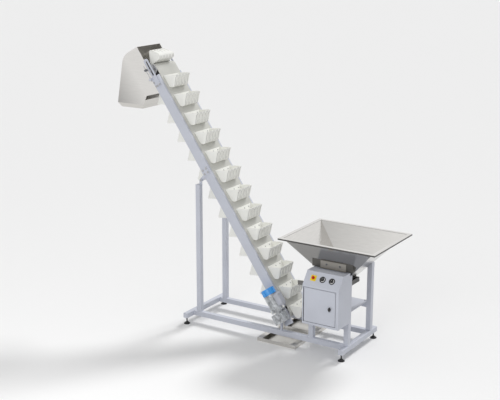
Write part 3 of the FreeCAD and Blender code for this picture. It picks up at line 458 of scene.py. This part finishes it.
def powder_coat():
    """Pale lavender grey powder coat with a fine orange peel."""
    colour = (0.585, 0.608, 0.680)
    material = new_finish("powder_coat", colour, roughness=0.42)
    tint(material, noise(material, scale=3.0), shade(colour, 0.96), shade(colour, 1.03))
    roughen(material, noise(material, scale=9.0), low=0.36, high=0.48)
    grain = noise(material, scale=420.0, detail=2.0)
    raise_surface(material, grain, height=0.00025, strength=0.35)
    return material


def brushed_sheet(name, colour, grain, below=1.0, level=-0.3, roughness=(0.24, 0.36)):
    """Brushed stainless sheet, its grain stretched across the given axis scales, with painted shade
    that darkens the faces that look down.
    """
    material = new_finish(name, colour, roughness=0.3, metallic=1.0)
    drift = noise(material, scale=9.0, detail=2.0, stretch=grain)
    tint(material, drift, shade(colour, 0.97), shade(colour, 1.02))
    # Painted shade on the faces that look down
    painted_shade_below(material, below, level)
    roughen(material, noise(material, scale=22.0, stretch=grain), *roughness)
    lines = noise(material, scale=60.0, stretch=grain)
    raise_surface(material, lines, height=0.0001, strength=0.12)
    return material


def zinc_plate():
    """Bright zinc with a fine spangle."""
    colour = (0.50, 0.50, 0.51)
    material = new_finish("zinc_plate", colour, roughness=0.36, metallic=0.9)
    tint(material, noise(material, scale=45.0), shade(colour, 0.86), shade(colour, 1.08))
    roughen(material, noise(material, scale=80.0), low=0.28, high=0.46)
    raise_surface(material, noise(material, scale=600.0), height=0.0001, strength=0.3)
    return material


def cast_metal(name, colour, metallic):
    """Cast housing with a sandy, uneven skin."""
    material = new_finish(name, colour, roughness=0.46, metallic=metallic)
    drift = noise(material, scale=26.0, detail=5.0)
    tint(material, drift, shade(colour, 0.52), shade(colour, 1.18))
    roughen(material, noise(material, scale=30.0), low=0.38, high=0.56)
    sand = noise(material, scale=260.0, detail=4.0)
    raise_surface(material, sand, height=0.0005, strength=0.5)
    return material


def belt_cover():
    """Beige grey belt with a faint weave pressed into its cover."""
    colour = (0.600, 0.600, 0.565)
    material = new_finish("belt_cover", colour, roughness=0.44)
    tint(material, noise(material, scale=5.0), shade(colour, 0.93), shade(colour, 1.05))
    roughen(material, noise(material, scale=12.0), low=0.36, high=0.52)
    weave = noise(material, scale=380.0, detail=2.0, stretch=(1, 0.4, 1))
    raise_surface(material, weave, height=0.0003, strength=0.4)
    return material


def moulded(name, colour, roughness, mottle=0.03):
    """Moulded plastic with a fine spark-eroded grain."""
    material = new_finish(name, colour, roughness)
    tint(material, noise(material, scale=11.0), shade(colour, 1 - mottle),
         shade(colour, 1 + mottle))
    roughen(material, noise(material, scale=26.0), low=roughness - 0.05, high=roughness + 0.07)
    grain = noise(material, scale=700.0, detail=2.0)
    raise_surface(material, grain, height=0.0002, strength=0.3)
    return material


steel_tone = (0.66, 0.645, 0.615)
# Lighter copy of the steel tone: painted brighter reflection on the hopper, its rim and the hood's
# sides
lit_sheet_tone = (0.78, 0.765, 0.74)
# Darker copy of the steel tone: painted shade on the hopper's mounting plate
shaded_plate_tone = (0.30, 0.285, 0.26)
# Darker copy of the steel tone: painted shade on the hopper's stiffener
shaded_stiffener_tone = (0.11, 0.107, 0.10)
# Darker copy of the steel tone: painted shade on the feeder pan
shaded_pan_tone = (0.20, 0.196, 0.19)
long_grain = (1, 1, 22)
short_grain = (1, 1, 14)
polished = (0.12, 0.2)
matt = (0.4, 0.5)
finishes = {
    "frame_paint": powder_coat(),
    "plated_steel": zinc_plate(),
    "stainless": brushed_sheet("brushed_stainless", steel_tone, long_grain),
    # Hopper: lighter tone and painted shade on its faces that look down
    "hopper_sheet": brushed_sheet("hopper_stainless", lit_sheet_tone, short_grain,
                                  below=0.62, roughness=polished),
    # Rim: painted shade makes its faces that look sideways or down nearly black
    "rim_sheet": brushed_sheet("rim_stainless", lit_sheet_tone, short_grain,
                               below=0.12, level=0.3, roughness=polished),
    # Hood's sides: lighter tone, painted brighter reflection
    "hood_sheet": brushed_sheet("hood_stainless", lit_sheet_tone, long_grain),
    # Painted shade: darker sheets for the mounting plate, the stiffener and the feeder pan
    "shaded_plate_stainless": brushed_sheet("shaded_plate_stainless", shaded_plate_tone, short_grain,
                                    below=0.5, roughness=matt),
    "shaded_stiffener_stainless": brushed_sheet("shaded_stiffener_stainless", shaded_stiffener_tone, short_grain,
                                    below=0.5, roughness=matt),
    "shaded_pan_stainless": brushed_sheet("shaded_pan_stainless", shaded_pan_tone, short_grain,
                                    below=0.6, roughness=matt),
    "cast_aluminium": cast_metal("cast_aluminium", (0.62, 0.64, 0.66), metallic=0.35),
    "cast_iron": cast_metal("painted_cast_iron", (0.13, 0.135, 0.15), metallic=0.0),
    "belt": belt_cover(),
    "bucket_plastic": moulded("bucket_plastic", (0.92, 0.92, 0.88), 0.4, mottle=0.02),
    # Painted highlight for the dials' crescents
    "highlight_silver": moulded("highlight_silver", (0.80, 0.80, 0.80), 0.4, mottle=0.02),
    "box_paint": moulded("box_paint", (0.50, 0.515, 0.57), 0.42, mottle=0.05),
    "blue_plastic": moulded("blue_plastic", (0.065, 0.36, 0.84), 0.24),
    "black_plastic": moulded("black_plastic", (0.012, 0.012, 0.013), 0.42, mottle=0.2),
    "yellow_plastic": moulded("yellow_plastic", (0.90, 0.66, 0.008), 0.34),
    "red_plastic": moulded("red_plastic", (0.55, 0.012, 0.008), 0.32),
}
# Painted shade beside the buckets' ribs
painted_shade_beside_ribs(finishes["bucket_plastic"])
# Painted reflection on the hopper's rear wall
hopper_rear_wall_reflection(finishes["hopper_sheet"])
# Painted reflection on the hood's side
hood_side_reflection(finishes["hood_sheet"])

finish_of_nodes = {
    "frame_paint": ["base_rails", "cross_beams", "tall_posts", "hinge_brackets", "stand_posts",
                    "stand_top_beams", "shelf_beams", "shelf_plate", "conveyor_side_plates",
                    "conveyor_cross_ties", "take_up_plates", "torque_bar", "tail_support",
                    "cabinet_side_panels", "cabinet_floor", "cabinet_back_panel", "cabinet_roof",
                    "control_panel", "cabinet_front_frame", "cabinet_door"],
    "plated_steel": ["pivot_pins", "head_drum", "tail_drum", "take_up_screws", "door_hinge_pins"],
    "stainless": ["slider_bed", "hood_shell", "hood_spout", "drip_trays"],
    "hood_sheet": ["hood_sides"],
    "hopper_sheet": ["hopper_shell"],
    "rim_sheet": ["hopper_rim"],
    "shaded_plate_stainless": ["hopper_mounting_plate"],
    "shaded_stiffener_stainless": ["hopper_stiffener"],
    "shaded_pan_stainless": ["feeder_pan"],
    "cast_aluminium": ["gearbox", "motor_body"],
    "box_paint": ["motor_terminal_box"],
    "cast_iron": ["tail_bearing", "feeder_drive"],
    "belt": ["belt"],
    "bucket_plastic": ["head_bucket", "carrying_buckets_upper", "carrying_buckets_lower",
                       "return_buckets"],
    "blue_plastic": ["motor_fan_cover"],
    "black_plastic": ["levelling_feet", "door_latch", "dial_bezels", "left_speed_knob",
                      "right_speed_knob"],
    "yellow_plastic": ["main_switch_plate"],
    "red_plastic": ["main_switch_knob"],
}
for finish_name, node_names in finish_of_nodes.items():
    for node_name in node_names:
        node = frame["nodes"][node_name]
        node.data.materials.clear()
        node.data.materials.append(finishes[finish_name])


# Modelling helpers

def select_only(*objects):
    bpy.ops.object.select_all(action="DESELECT")
    for item in objects:
        item.select_set(True)
    bpy.context.view_layer.objects.active = objects[0]


def round_bar(radius, height, sides, base=0.0):
    """Round bar that stands on its base about the Z axis."""
    bpy.ops.object.select_all(action="DESELECT")
    bpy.ops.mesh.primitive_cylinder_add(vertices=sides, radius=radius, depth=height,
                                        location=(0, 0, base + height / 2))
    bpy.ops.object.transform_apply(location=True, rotation=True, scale=True)
    return bpy.context.active_object


def brick(low, high):
    """Block between two corners."""
    low = Vector(low)
    high = Vector(high)
    bpy.ops.object.select_all(action="DESELECT")
    bpy.ops.mesh.primitive_cube_add(size=1, location=(low + high) / 2, scale=high - low)
    bpy.ops.object.transform_apply(location=True, rotation=True, scale=True)
    return bpy.context.active_object


def enter_edit(piece, kind, action):
    """Open a piece for editing by faces or edges, with all or none of it selected."""
    select_only(piece)
    bpy.ops.object.mode_set(mode="EDIT")
    bpy.ops.mesh.select_mode(type=kind)
    bpy.ops.mesh.select_all(action=action)


def leave_edit():
    bpy.ops.object.mode_set(mode="OBJECT")


def pick_faces(piece, wanted):
    """Stay in edit mode with the faces selected whose centre and normal are wanted."""
    enter_edit(piece, "FACE", "DESELECT")
    leave_edit()
    for face in piece.data.polygons:
        face.select = wanted(face.center, face.normal)
    bpy.ops.object.mode_set(mode="EDIT")


def pick_edges(piece, wanted):
    """Stay in edit mode with the edges selected whose two ends are wanted."""
    enter_edit(piece, "EDGE", "DESELECT")
    leave_edit()
    for edge in piece.data.edges:
        first, second = [piece.data.vertices[index].co for index in edge.vertices]
        edge.select = wanted(first, second)
    bpy.ops.object.mode_set(mode="EDIT")


def soften(piece, width, steps, wanted):
    """Round the wanted edges."""
    pick_edges(piece, wanted)
    bpy.ops.mesh.bevel(offset=width, offset_type="OFFSET", segments=steps, affect="EDGES")
    leave_edit()


def soften_rim(piece, height, width, steps=2):
    """Round the edges that lie at a height."""
    soften(piece, width, steps,
           lambda a, b: abs(a.z - height) < close and abs(b.z - height) < close)


def soften_uprights(piece, width, steps):
    """Round the edges that stand upright."""
    soften(piece, width, steps,
           lambda a, b: abs(a.x - b.x) < plumb and abs(a.y - b.y) < plumb)


def step_faces(piece, wanted, margin, rise):
    """Inset the wanted faces together, then raise or sink what is inside."""
    pick_faces(piece, wanted)
    bpy.ops.mesh.inset(thickness=margin, depth=rise)
    leave_edit()


def smooth(piece, angle=32.0):
    select_only(piece)
    bpy.ops.object.shade_smooth_by_angle(angle=math.radians(angle))


def join(parts):
    select_only(*parts)
    if len(parts) > 1:
        bpy.ops.object.join()
    return bpy.context.active_object


def turned_to(direction, spin=0.0):
    """Turn that brings the Z axis to a direction."""
    facing = Vector(direction).to_track_quat("Z", "Y").to_matrix().to_4x4()
    return facing @ Matrix.Rotation(spin, 4, "Z")


def axes_to(x_to, y_to, z_to):
    """Turn that brings the three axes to three directions."""
    return Matrix((x_to, y_to, z_to)).transposed().to_4x4()


def set_down(piece, place, turn):
    """Turn a piece's mesh and move it to a place."""
    piece.data.transform(Matrix.Translation(place) @ turn)


def copy_to(template, place, direction=upward, spin=0.0):
    """Copy of a template with its own mesh, set at a place and turned to a direction."""
    twin = template.copy()
    twin.data = template.data.copy()
    bpy.context.collection.objects.link(twin)
    set_down(twin, place, turned_to(direction, spin))
    return twin


def put_away(template):
    bpy.data.objects.remove(template)


def fit(piece, name, slot, body="machine", finish=None):
    """Name a finished piece, give it its finish and let it ride with its body."""
    piece.name = name
    piece.data.name = name
    piece.data.materials.clear()
    piece.data.materials.append(finish or finishes[slot])
    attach(piece, body)
    return piece


def set_of(template, name, slot, places):
    """One piece made of copies of a template at (place, direction) pairs."""
    copies = [copy_to(template, place, direction, fastener_spin * index)
              for index, (place, direction) in enumerate(places)]
    return fit(join(copies), name, slot)


# Fasteners

def hex_bolt(radius):
    """Hexagon head on a washer, for a bolt of this shank radius; it seats at z = 0."""
    washer_height = radius * 0.35
    head_height = radius * 1.3
    top = radius * 1.65
    washer = round_bar(radius * 2.3, washer_height, sides=24)
    soften_rim(washer, washer_height, radius * 0.1)
    bolt_head = round_bar(radius * 1.85, head_height, sides=6, base=washer_height)
    soften_rim(bolt_head, top, radius * 0.2, steps=1)
    step_faces(bolt_head, lambda centre, normal: normal.z > flat and centre.z > top - close,
               margin=radius * 0.12, rise=radius * -0.06)
    return join([washer, bolt_head])


def socket_screw(radius):
    """Cap screw with a socket in its head."""
    head_height = radius * 1.8
    cap = round_bar(radius * 1.6, head_height, sides=20)
    soften_rim(cap, head_height, radius * 0.25)
    step_faces(cap, lambda centre, normal: normal.z > flat and centre.z > head_height - close,
               margin=radius * 0.45, rise=radius * -0.9)
    smooth(cap)
    return cap


def button_screw(radius):
    """Low domed screw head."""
    head_height = radius * 1.1
    dome = round_bar(radius * 1.9, head_height, sides=14)
    soften_rim(dome, head_height, radius * 0.9, steps=3)
    smooth(dome)
    return dome


def both_sides(places):
    """Places on the front and the rear, facing outwards, from points on the middle plane."""
    pairs = []
    for place, distance in places:
        for side in (front, rear):
            pairs.append((place + side * distance, side))
    return pairs


def conveyor_bolts():
    """Bolts of the hinge brackets, the take-up plates, the rear tail support and bearing."""
    bolt = hex_bolt(bolt_radius)
    pivot_u = (centre_of("pivot_pins") - tail).dot(up_incline)
    places = [(on_incline(pivot_u + du, 0, dn), bracket_face)
              for du in bracket_bolts_u for dn in bracket_bolts_n]
    set_of(bolt, "hinge_bracket_bolts", "plated_steel", both_sides(places))
    web_end = shaft_centres - web_setback
    places = [(on_incline(web_end - du, 0, web_bolts_n), side_plate_outer) for du in web_bolts_u]
    places += [(on_incline(web_end - tab_bolts_u, 0, dn), bracket_face) for dn in tab_bolts_n]
    set_of(bolt, "take_up_bolts", "plated_steel", both_sides(places))
    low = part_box("tail_support")[0]
    places = [(Vector((low.x + dx, middle_y + bracket_face, low.z + support_bolts_z)), rear)
              for dx in support_bolts_x]
    set_of(bolt, "tail_support_bolts", "plated_steel", places)
    flange = side_plate_outer + bearing_thickness
    places = [(on_incline(du, flange, dn), rear) for du in bearing_bolts for dn in bearing_bolts]
    set_of(bolt, "tail_bearing_bolts", "plated_steel", places)
    put_away(bolt)


def stand_bolts():
    """Bolts of the hopper's mounting plate and the shelf."""
    bolt = hex_bolt(small_bolt_radius)
    low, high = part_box("hopper_mounting_plate")
    places = [(Vector((x, low.y + hopper_plate_face, low.z + hopper_plate_bolt_z)), front)
              for x in (low.x + hopper_plate_margin, high.x - hopper_plate_margin)]
    set_of(bolt, "mounting_plate_bolts", "cast_iron", places)
    low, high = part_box("shelf_plate")
    places = [(Vector((x, y, high.z)), upward)
              for x in (low.x + shelf_margin_x, high.x - shelf_margin_x)
              for y in (low.y + shelf_margin_y, high.y - shelf_margin_y)]
    set_of(bolt, "shelf_bolts", "plated_steel", places)
    put_away(bolt)


def take_up_rod(foot):
    """Free end of a take-up screw, with the turns of its thread."""
    length = take_up_rod_end - take_up_rod_start
    rod = round_bar(take_up_rod_radius, length, sides=16)
    soften_rim(rod, length, take_up_rod_round, steps=1)
    set_down(rod, foot, turned_to(up_incline))
    parts = [rod]
    for step in range(take_up_thread_turns):
        ring = round_bar(take_up_thread_radius, take_up_thread_width, sides=16)
        soften_rim(ring, take_up_thread_width, take_up_thread_round, steps=1)
        soften_rim(ring, 0.0, take_up_thread_round, steps=1)
        along = take_up_thread_start + take_up_thread_pitch * step
        set_down(ring, foot + up_incline * along, turned_to(up_incline))
        parts.append(ring)
    return parts


def take_up_block(side):
    """Dark block that a take-up screw pulls."""
    block = brick(take_up_block_low, take_up_block_high)
    soften_uprights(block, take_up_block_corner, steps=2)
    soften_rim(block, take_up_block_high[2], take_up_block_round)
    turn = axes_to(off_belt, -side, up_incline)
    along = take_up_block_u - take_up_block_setback
    set_down(block, on_incline(along, 0, take_up_rod_n) + side * take_up_rod_side, turn)
    if turn.determinant() < 0:
        # A mirrored block is inside out
        enter_edit(block, "FACE", "SELECT")
        bpy.ops.mesh.flip_normals()
        leave_edit()
    return block


def take_up_ends():
    """Free ends and blocks of the take-up screws on both sides."""
    rods = []
    blocks = []
    for side in (front, rear):
        foot = on_incline(take_up_rod_start, 0, take_up_rod_n) + side * take_up_rod_side
        rods += take_up_rod(foot)
        blocks.append(take_up_block(side))
    fit(join(rods), "take_up_rod_ends", "plated_steel")
    fit(join(blocks), "take_up_blocks", "black_plastic", finish=finishes["cast_iron"])


def bucket_place(distance):
    """Point on the belt's cover and its outward direction, at a distance from the tail."""
    half_turn = math.pi * belt_neutral
    turn = 0.0
    centre = distance
    if distance > shaft_centres:
        turn = min((distance - shaft_centres) / belt_neutral, math.pi)
        centre = shaft_centres - max(distance - shaft_centres - half_turn, 0)
    elif distance < 0:
        turn = max(distance / belt_neutral, -math.pi)
        centre = max(-distance - half_turn, 0)
    outward = up_incline * math.sin(turn) + off_belt * math.cos(turn)
    return on_incline(centre, 0, 0) + outward * belt_outer, outward


def bucket_screws():
    """Three domed screws through the back wall of every bucket."""
    screw = button_screw(bucket_screw_radius)
    loop = 2 * shaft_centres + 2 * math.pi * belt_neutral
    first = shaft_centres + belt_neutral * math.pi / 2
    places = []
    for index in range(bucket_count):
        place, outward = bucket_place(first - loop / bucket_count * index)
        for step in (-1, 0, 1):
            offset = Vector((0, step * bucket_bolt_spacing, 0))
            places.append((place + offset + outward * bucket_wall, outward))
    set_of(screw, "bucket_screws", "plated_steel", places)
    put_away(screw)


# Gearmotor

def motor_end():
    """Middle of the fan cover: its y, n and u, as on_incline takes them."""
    cover = centre_of("motor_fan_cover")
    along = (cover - tail).dot(up_incline)
    square = (cover - tail).dot(off_belt)
    return cover.y - middle_y, square, along


def sector(centre, count):
    """Number of the sector round the Z axis, out of a count, that a point lies in."""
    return int(math.degrees(math.atan2(centre.y, centre.x)) % 360 / (360 / count))


def fan_cover():
    """Cover with broad lobes round its side and a slotted grille in its end."""
    sides = fan_cover_lobes * fan_cover_sides_per_lobe
    shell = round_bar(fan_cover_radius, fan_cover_length, sides)
    soften_rim(shell, fan_cover_length, fan_cover_round, steps=4)

    def in_groove(centre, normal):
        beside = normal.z < 0.8 and centre.z > 0.001
        return beside and sector(centre, sides) % fan_cover_sides_per_lobe in (0, 1)

    def at_hub(centre, normal):
        return normal.z > flat and math.hypot(centre.x, centre.y) < fan_hub_radius

    def in_slot(centre, normal):
        radius = math.hypot(centre.x, centre.y)
        on_ring = any(inner < radius < outer for inner, outer in fan_grille_rings)
        return normal.z > flat and on_ring and sector(centre, sides) % fan_grille_bar_every != 0

    step_faces(shell, in_groove, fan_cover_groove_margin, -fan_cover_groove)
    for margin in fan_grille_steps:
        step_faces(shell, at_hub, margin, 0.0)
    step_faces(shell, in_slot, fan_grille_margin, -fan_grille_depth)
    smooth(shell, 40)
    y, n, u = motor_end()
    set_down(shell, on_incline(u - fan_cover_length / 2, y, n), turned_to(up_incline))
    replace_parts(fit(shell, "ribbed_fan_cover", "blue_plastic"), "motor_fan_cover")


def on_gearbox_front(u, n):
    """Point of the gear housing's front face."""
    place = on_incline(u, 0, n)
    place.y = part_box("gearbox")[0].y + gearbox_cover_height
    return place


def rib(half_length, height, place, turn):
    """Cast rib along the X axis, set down at a place."""
    bar = brick((-half_length, -rib_half_width, 0), (half_length, rib_half_width, height))
    soften_rim(bar, height, rib_round)
    set_down(bar, place, turn)
    return bar


def gearbox_screws():
    """Screws round the gear housing's cover and in its corners."""
    screw = socket_screw(gearbox_screw_radius)
    cover_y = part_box("gearbox")[0].y
    places = []
    for step in range(gearbox_cover_screws):
        angle = math.radians(360 / gearbox_cover_screws * step + gearbox_cover_turn)
        place = on_incline(gearbox_cover_circle * math.cos(angle), 0,
                           gearbox_cover_circle * math.sin(angle))
        place.y = cover_y
        places.append((place, front))
    for u in (gearbox_start + gearbox_corner_inset, gearbox_end - gearbox_corner_inset):
        for n in (gearbox_low + gearbox_corner_inset, gearbox_high - gearbox_corner_inset):
            places.append((on_gearbox_front(u, n), front))
    set_of(screw, "gearbox_screws", "plated_steel", places)
    put_away(screw)


def gearbox_ribs():
    """Ribs on the front and the upper side of the gear housing."""
    middle = (gearbox_start + gearbox_end) / 2
    rows = [gearbox_low + inset for inset in front_ribs_low]
    rows += [gearbox_high - inset for inset in front_ribs_high]
    turn = axes_to(up_incline, -off_belt, front)
    ribs = [rib(front_rib_half_length, front_rib_height, on_gearbox_front(middle, n), turn)
            for n in rows]
    fit(join(ribs), "gearbox_ribs", "cast_aluminium")
    turn = axes_to(up_incline, front, off_belt)
    ribs = []
    for step in range(side_rib_count):
        place = on_incline(middle, 0, gearbox_high - side_rib_sink)
        place.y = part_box("gearbox")[0].y + side_rib_first + side_rib_pitch * step
        ribs.append(rib(side_rib_half_length, side_rib_height, place, turn))
    fit(join(ribs), "gearbox_side_ribs", "cast_aluminium")


def oil_plugs():
    """Plugs in the lower end and the underside of the gear housing."""
    plug = hex_bolt(oil_plug_radius)
    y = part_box("gearbox")[0].y + oil_plug_depth - middle_y
    places = [(on_incline(gearbox_start, y, oil_plug_n), -up_incline),
              (on_incline(0.0, y, gearbox_low), -off_belt)]
    set_of(plug, "oil_plugs", "plated_steel", places)
    put_away(plug)


def motor_flange():
    """Square flange with its bolts between the gear housing's neck and the motor."""
    start = gearbox_end + motor_neck_length
    y = motor_end()[0]
    plate = brick((-flange_half_size, -flange_half_size, -flange_thickness),
                  (flange_half_size, flange_half_size, 0.0))
    soften_uprights(plate, flange_corner, steps=5)
    soften_rim(plate, -flange_thickness, flange_round)
    smooth(plate)
    set_down(plate, on_incline(start, y, motor_line_n), axes_to(off_belt, rear, up_incline))
    fit(plate, "motor_flange", "cast_aluminium")
    bolt = hex_bolt(flange_bolt_radius)
    spread = (-flange_bolt_spread, flange_bolt_spread)
    places = [(on_incline(start - flange_thickness, y + dy, motor_line_n + dn), -up_incline)
              for dy in spread for dn in spread]
    set_of(bolt, "motor_flange_bolts", "plated_steel", places)
    put_away(bolt)


def cable_gland():
    """Closed gland on the lower end of the terminal box."""
    low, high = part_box("motor_terminal_box")
    y = (low.y + high.y) / 2 - middle_y - gland_offset_y
    nut = round_bar(gland_nut_radius, gland_nut_height, sides=6)
    soften_rim(nut, gland_nut_height, gland_nut_round, steps=1)
    dome = round_bar(gland_dome_radius, gland_dome_height, sides=20, base=gland_dome_base)
    soften_rim(dome, gland_dome_base + gland_dome_height, gland_dome_round, steps=4)
    smooth(dome)
    gland = join([nut, dome])
    set_down(gland, on_incline(gland_place_u, y, gland_place_n), turned_to(-up_incline))
    fit(gland, "cable_gland", "bucket_plastic")


def terminal_box_screws():
    """Screws in the lid of the terminal box."""
    y = centre_of("motor_terminal_box").y - middle_y
    screw = socket_screw(lid_screw_radius)
    places = [(on_incline(u, y + dy, lid_n), off_belt)
              for u in lid_screws_u for dy in lid_screws_y]
    set_of(screw, "terminal_box_screws", "plated_steel", places)
    put_away(screw)


# Control panel

def joint_axis(name):
    """Foot and direction of a joint's axis."""
    joint = next(joint for joint in frame["joints"] if joint["name"] == name)
    return Vector(joint["pos_m"]), Vector(joint["axis"]).normalized()


def dial_scales():
    """Scale marks in each dial's recess."""
    parts = []
    for name in dial_joints:
        foot, axis = joint_axis(name)
        marks = []
        for step in range(dial_mark_count):
            angle = math.radians(dial_first_mark + dial_mark_step * step)
            mark = brick(dial_mark_low, dial_mark_high)
            mark.data.transform(Matrix.Rotation(-angle, 4, "Z"))
            marks.append(mark)
        face = join(marks)
        set_down(face, foot, turned_to(axis))
        parts.append(face)
    fit(join(parts), "dial_scales", "plated_steel")


def dial_highlight_crescents():
    """Painted highlight: a silver crescent on the right of each knob, in the dial's recess."""
    parts = []
    for name in dial_joints:
        foot, axis = joint_axis(name)
        bpy.ops.object.select_all(action="DESELECT")
        bpy.ops.mesh.primitive_plane_add(size=1, rotation=(math.pi / 2, 0, 0))
        crescent = bpy.context.active_object
        bpy.ops.object.transform_apply(location=True, rotation=True, scale=True)
        enter_edit(crescent, "FACE", "SELECT")
        bpy.ops.transform.resize(value=(crescent_width, 1, crescent_height),
                                 center_override=(0, 0, 0))
        bpy.ops.transform.translate(value=(crescent_radius, 0,
                                           crescent_seat + crescent_height / 2))
        bpy.ops.mesh.spin(steps=crescent_steps, angle=math.radians(crescent_sweep),
                          center=(0, 0, 0), axis=(0, 0, 1))
        bpy.ops.mesh.select_all(action="SELECT")
        bpy.ops.mesh.remove_doubles(threshold=crescent_merge)
        bpy.ops.mesh.normals_make_consistent(inside=False)
        leave_edit()
        crescent.data.transform(Matrix.Rotation(math.radians(crescent_start), 4, "Z"))
        set_down(crescent, foot, turned_to(axis))
        parts.append(crescent)
    fit(join(parts), "dial_highlight_crescents", "bucket_plastic", finish=finishes["highlight_silver"])


def knob_marks():
    """White line on each speed knob."""
    for name, body in zip(dial_joints, ("left_knob", "right_knob")):
        foot, axis = joint_axis(name)
        line = brick(knob_line_low, knob_line_high)
        soften_rim(line, knob_line_high[2], knob_line_round, steps=1)
        set_down(line, foot, turned_to(axis))
        fit(line, body + "_mark", "bucket_plastic", body)


# Welds

def weld_bead(length):
    """Fillet weld with tapered ends along the X axis."""
    bead = round_bar(weld_radius, length, sides=10, base=-length / 2)
    step_faces(bead, lambda centre, normal: abs(normal.z) > flat, weld_tip_margin, weld_tip_height)
    enter_edit(bead, "FACE", "SELECT")
    bpy.ops.mesh.subdivide(number_cuts=1)
    leave_edit()
    bead.data.transform(Matrix.Rotation(math.pi / 2, 4, "Y"))
    smooth(bead, 60)
    return bead


def weld_beads():
    """Welds on both sides of the feet of the stand's posts and the tall posts."""
    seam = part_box("stand_posts")[0].z
    corners = []
    for node in ("stand_posts", "tall_posts"):
        low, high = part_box(node)
        xs = (low.x, high.x - tube) if node == "stand_posts" else (low.x,)
        corners += [(x, y) for x in xs for y in (low.y, high.y - tube)]
    bead = weld_bead(tube - weld_setback)
    across = Matrix.Rotation(math.pi / 2, 4, "Z")
    beads = []
    for x, y in corners:
        for side_x in (x, x + tube):
            twin = copy_to(bead, (0, 0, 0))
            set_down(twin, (side_x, y + tube / 2, seam), across)
            beads.append(twin)
    put_away(bead)
    fit(join(beads), "weld_beads", "frame_paint")


# Studio

def camera():
    bpy.ops.object.camera_add()
    viewer = bpy.context.active_object
    viewer.data.lens = camera_lens
    viewer.data.sensor_width = camera_sensor
    viewer.data.clip_end = camera_reach
    turn = (Matrix.Rotation(math.radians(camera_azimuth), 4, "Z") @
            Matrix.Rotation(math.radians(90 - camera_elevation), 4, "X") @
            Matrix.Rotation(math.radians(camera_roll), 4, "Z"))
    viewer.matrix_world = Matrix.Translation(camera_place) @ turn
    bpy.context.scene.camera = viewer


def grey(level):
    return (level, level, level, 1)


def seen_rays(nodes, links):
    """1 on rays that show the studio: straight to the camera, or by way of metal or glass."""
    path = nodes.new("ShaderNodeLightPath")
    seen = nodes.new("ShaderNodeMath")
    seen.operation = "MAXIMUM"
    seen_or_through = nodes.new("ShaderNodeMath")
    seen_or_through.operation = "MAXIMUM"
    links.new(path.outputs["Is Camera Ray"], seen.inputs[0])
    links.new(path.outputs["Is Glossy Ray"], seen.inputs[1])
    links.new(seen.outputs["Value"], seen_or_through.inputs[0])
    links.new(path.outputs["Is Transmission Ray"], seen_or_through.inputs[1])
    return seen_or_through.outputs["Value"]


def studio_floor():
    """Pale floor that takes the object's shadow."""
    bpy.ops.object.select_all(action="DESELECT")
    bpy.ops.mesh.primitive_plane_add(size=floor_size, location=(0, 0, 0))
    floor = bpy.context.active_object
    floor.name = "studio_floor"
    material = new_finish("floor_paint", grey(lit_floor_grey)[:3], floor_roughness)
    nodes = material.node_tree.nodes
    links = material.node_tree.links
    tone = nodes.new("ShaderNodeMix")
    tone.data_type = "RGBA"
    tone.inputs[mix_colour_a].default_value = grey(lit_floor_grey)
    tone.inputs[mix_colour_b].default_value = grey(seen_floor_grey)
    links.new(seen_rays(nodes, links), tone.inputs[mix_factor])
    links.new(tone.outputs[mix_colour_out], shader_of(material).inputs["Base Color"])
    floor.data.materials.append(material)


def key_light():
    """Clear light from behind and above, which draws the shadows of the buckets on the belt."""
    bpy.ops.object.light_add(type="SUN")
    lamp = bpy.context.active_object
    lamp.data.energy = key_strength
    lamp.data.angle = math.radians(key_spread)
    lamp.visible_glossy = False
    lamp.matrix_world = turned_to(key_from)


def fill_light():
    """Large soft panel in front of the machine."""
    bpy.ops.object.light_add(type="AREA")
    lamp = bpy.context.active_object
    lamp.data.shape = "DISK"
    lamp.data.size = fill_size
    lamp.data.energy = fill_power
    away = Vector(fill_place) - Vector(fill_target)
    lamp.matrix_world = Matrix.Translation(fill_place) @ turned_to(away)


def surroundings():
    """Even surroundings: a soft grey that lights the object, and the pale backdrop that is seen."""
    world = bpy.data.worlds.new("studio")
    bpy.context.scene.world = world
    world.use_nodes = True
    nodes = world.node_tree.nodes
    links = world.node_tree.links
    nodes.clear()
    lighting = nodes.new("ShaderNodeBackground")
    lighting.inputs["Color"].default_value = grey(ambient_grey)
    backdrop = nodes.new("ShaderNodeBackground")
    backdrop.inputs["Color"].default_value = grey(backdrop_grey)
    mix = nodes.new("ShaderNodeMixShader")
    out = nodes.new("ShaderNodeOutputWorld")
    links.new(seen_rays(nodes, links), mix.inputs["Fac"])
    links.new(lighting.outputs["Background"], mix.inputs[1])
    links.new(backdrop.outputs["Background"], mix.inputs[2])
    links.new(mix.outputs["Shader"], out.inputs["Surface"])


conveyor_bolts()
stand_bolts()
take_up_ends()
bucket_screws()
fan_cover()
gearbox_screws()
gearbox_ribs()
oil_plugs()
motor_flange()
cable_gland()
terminal_box_screws()
dial_scales()
dial_highlight_crescents()
knob_marks()
weld_beads()
camera()
studio_floor()
key_light()
fill_light()
surroundings()
bpy.context.scene.view_settings.view_transform = "Standard"
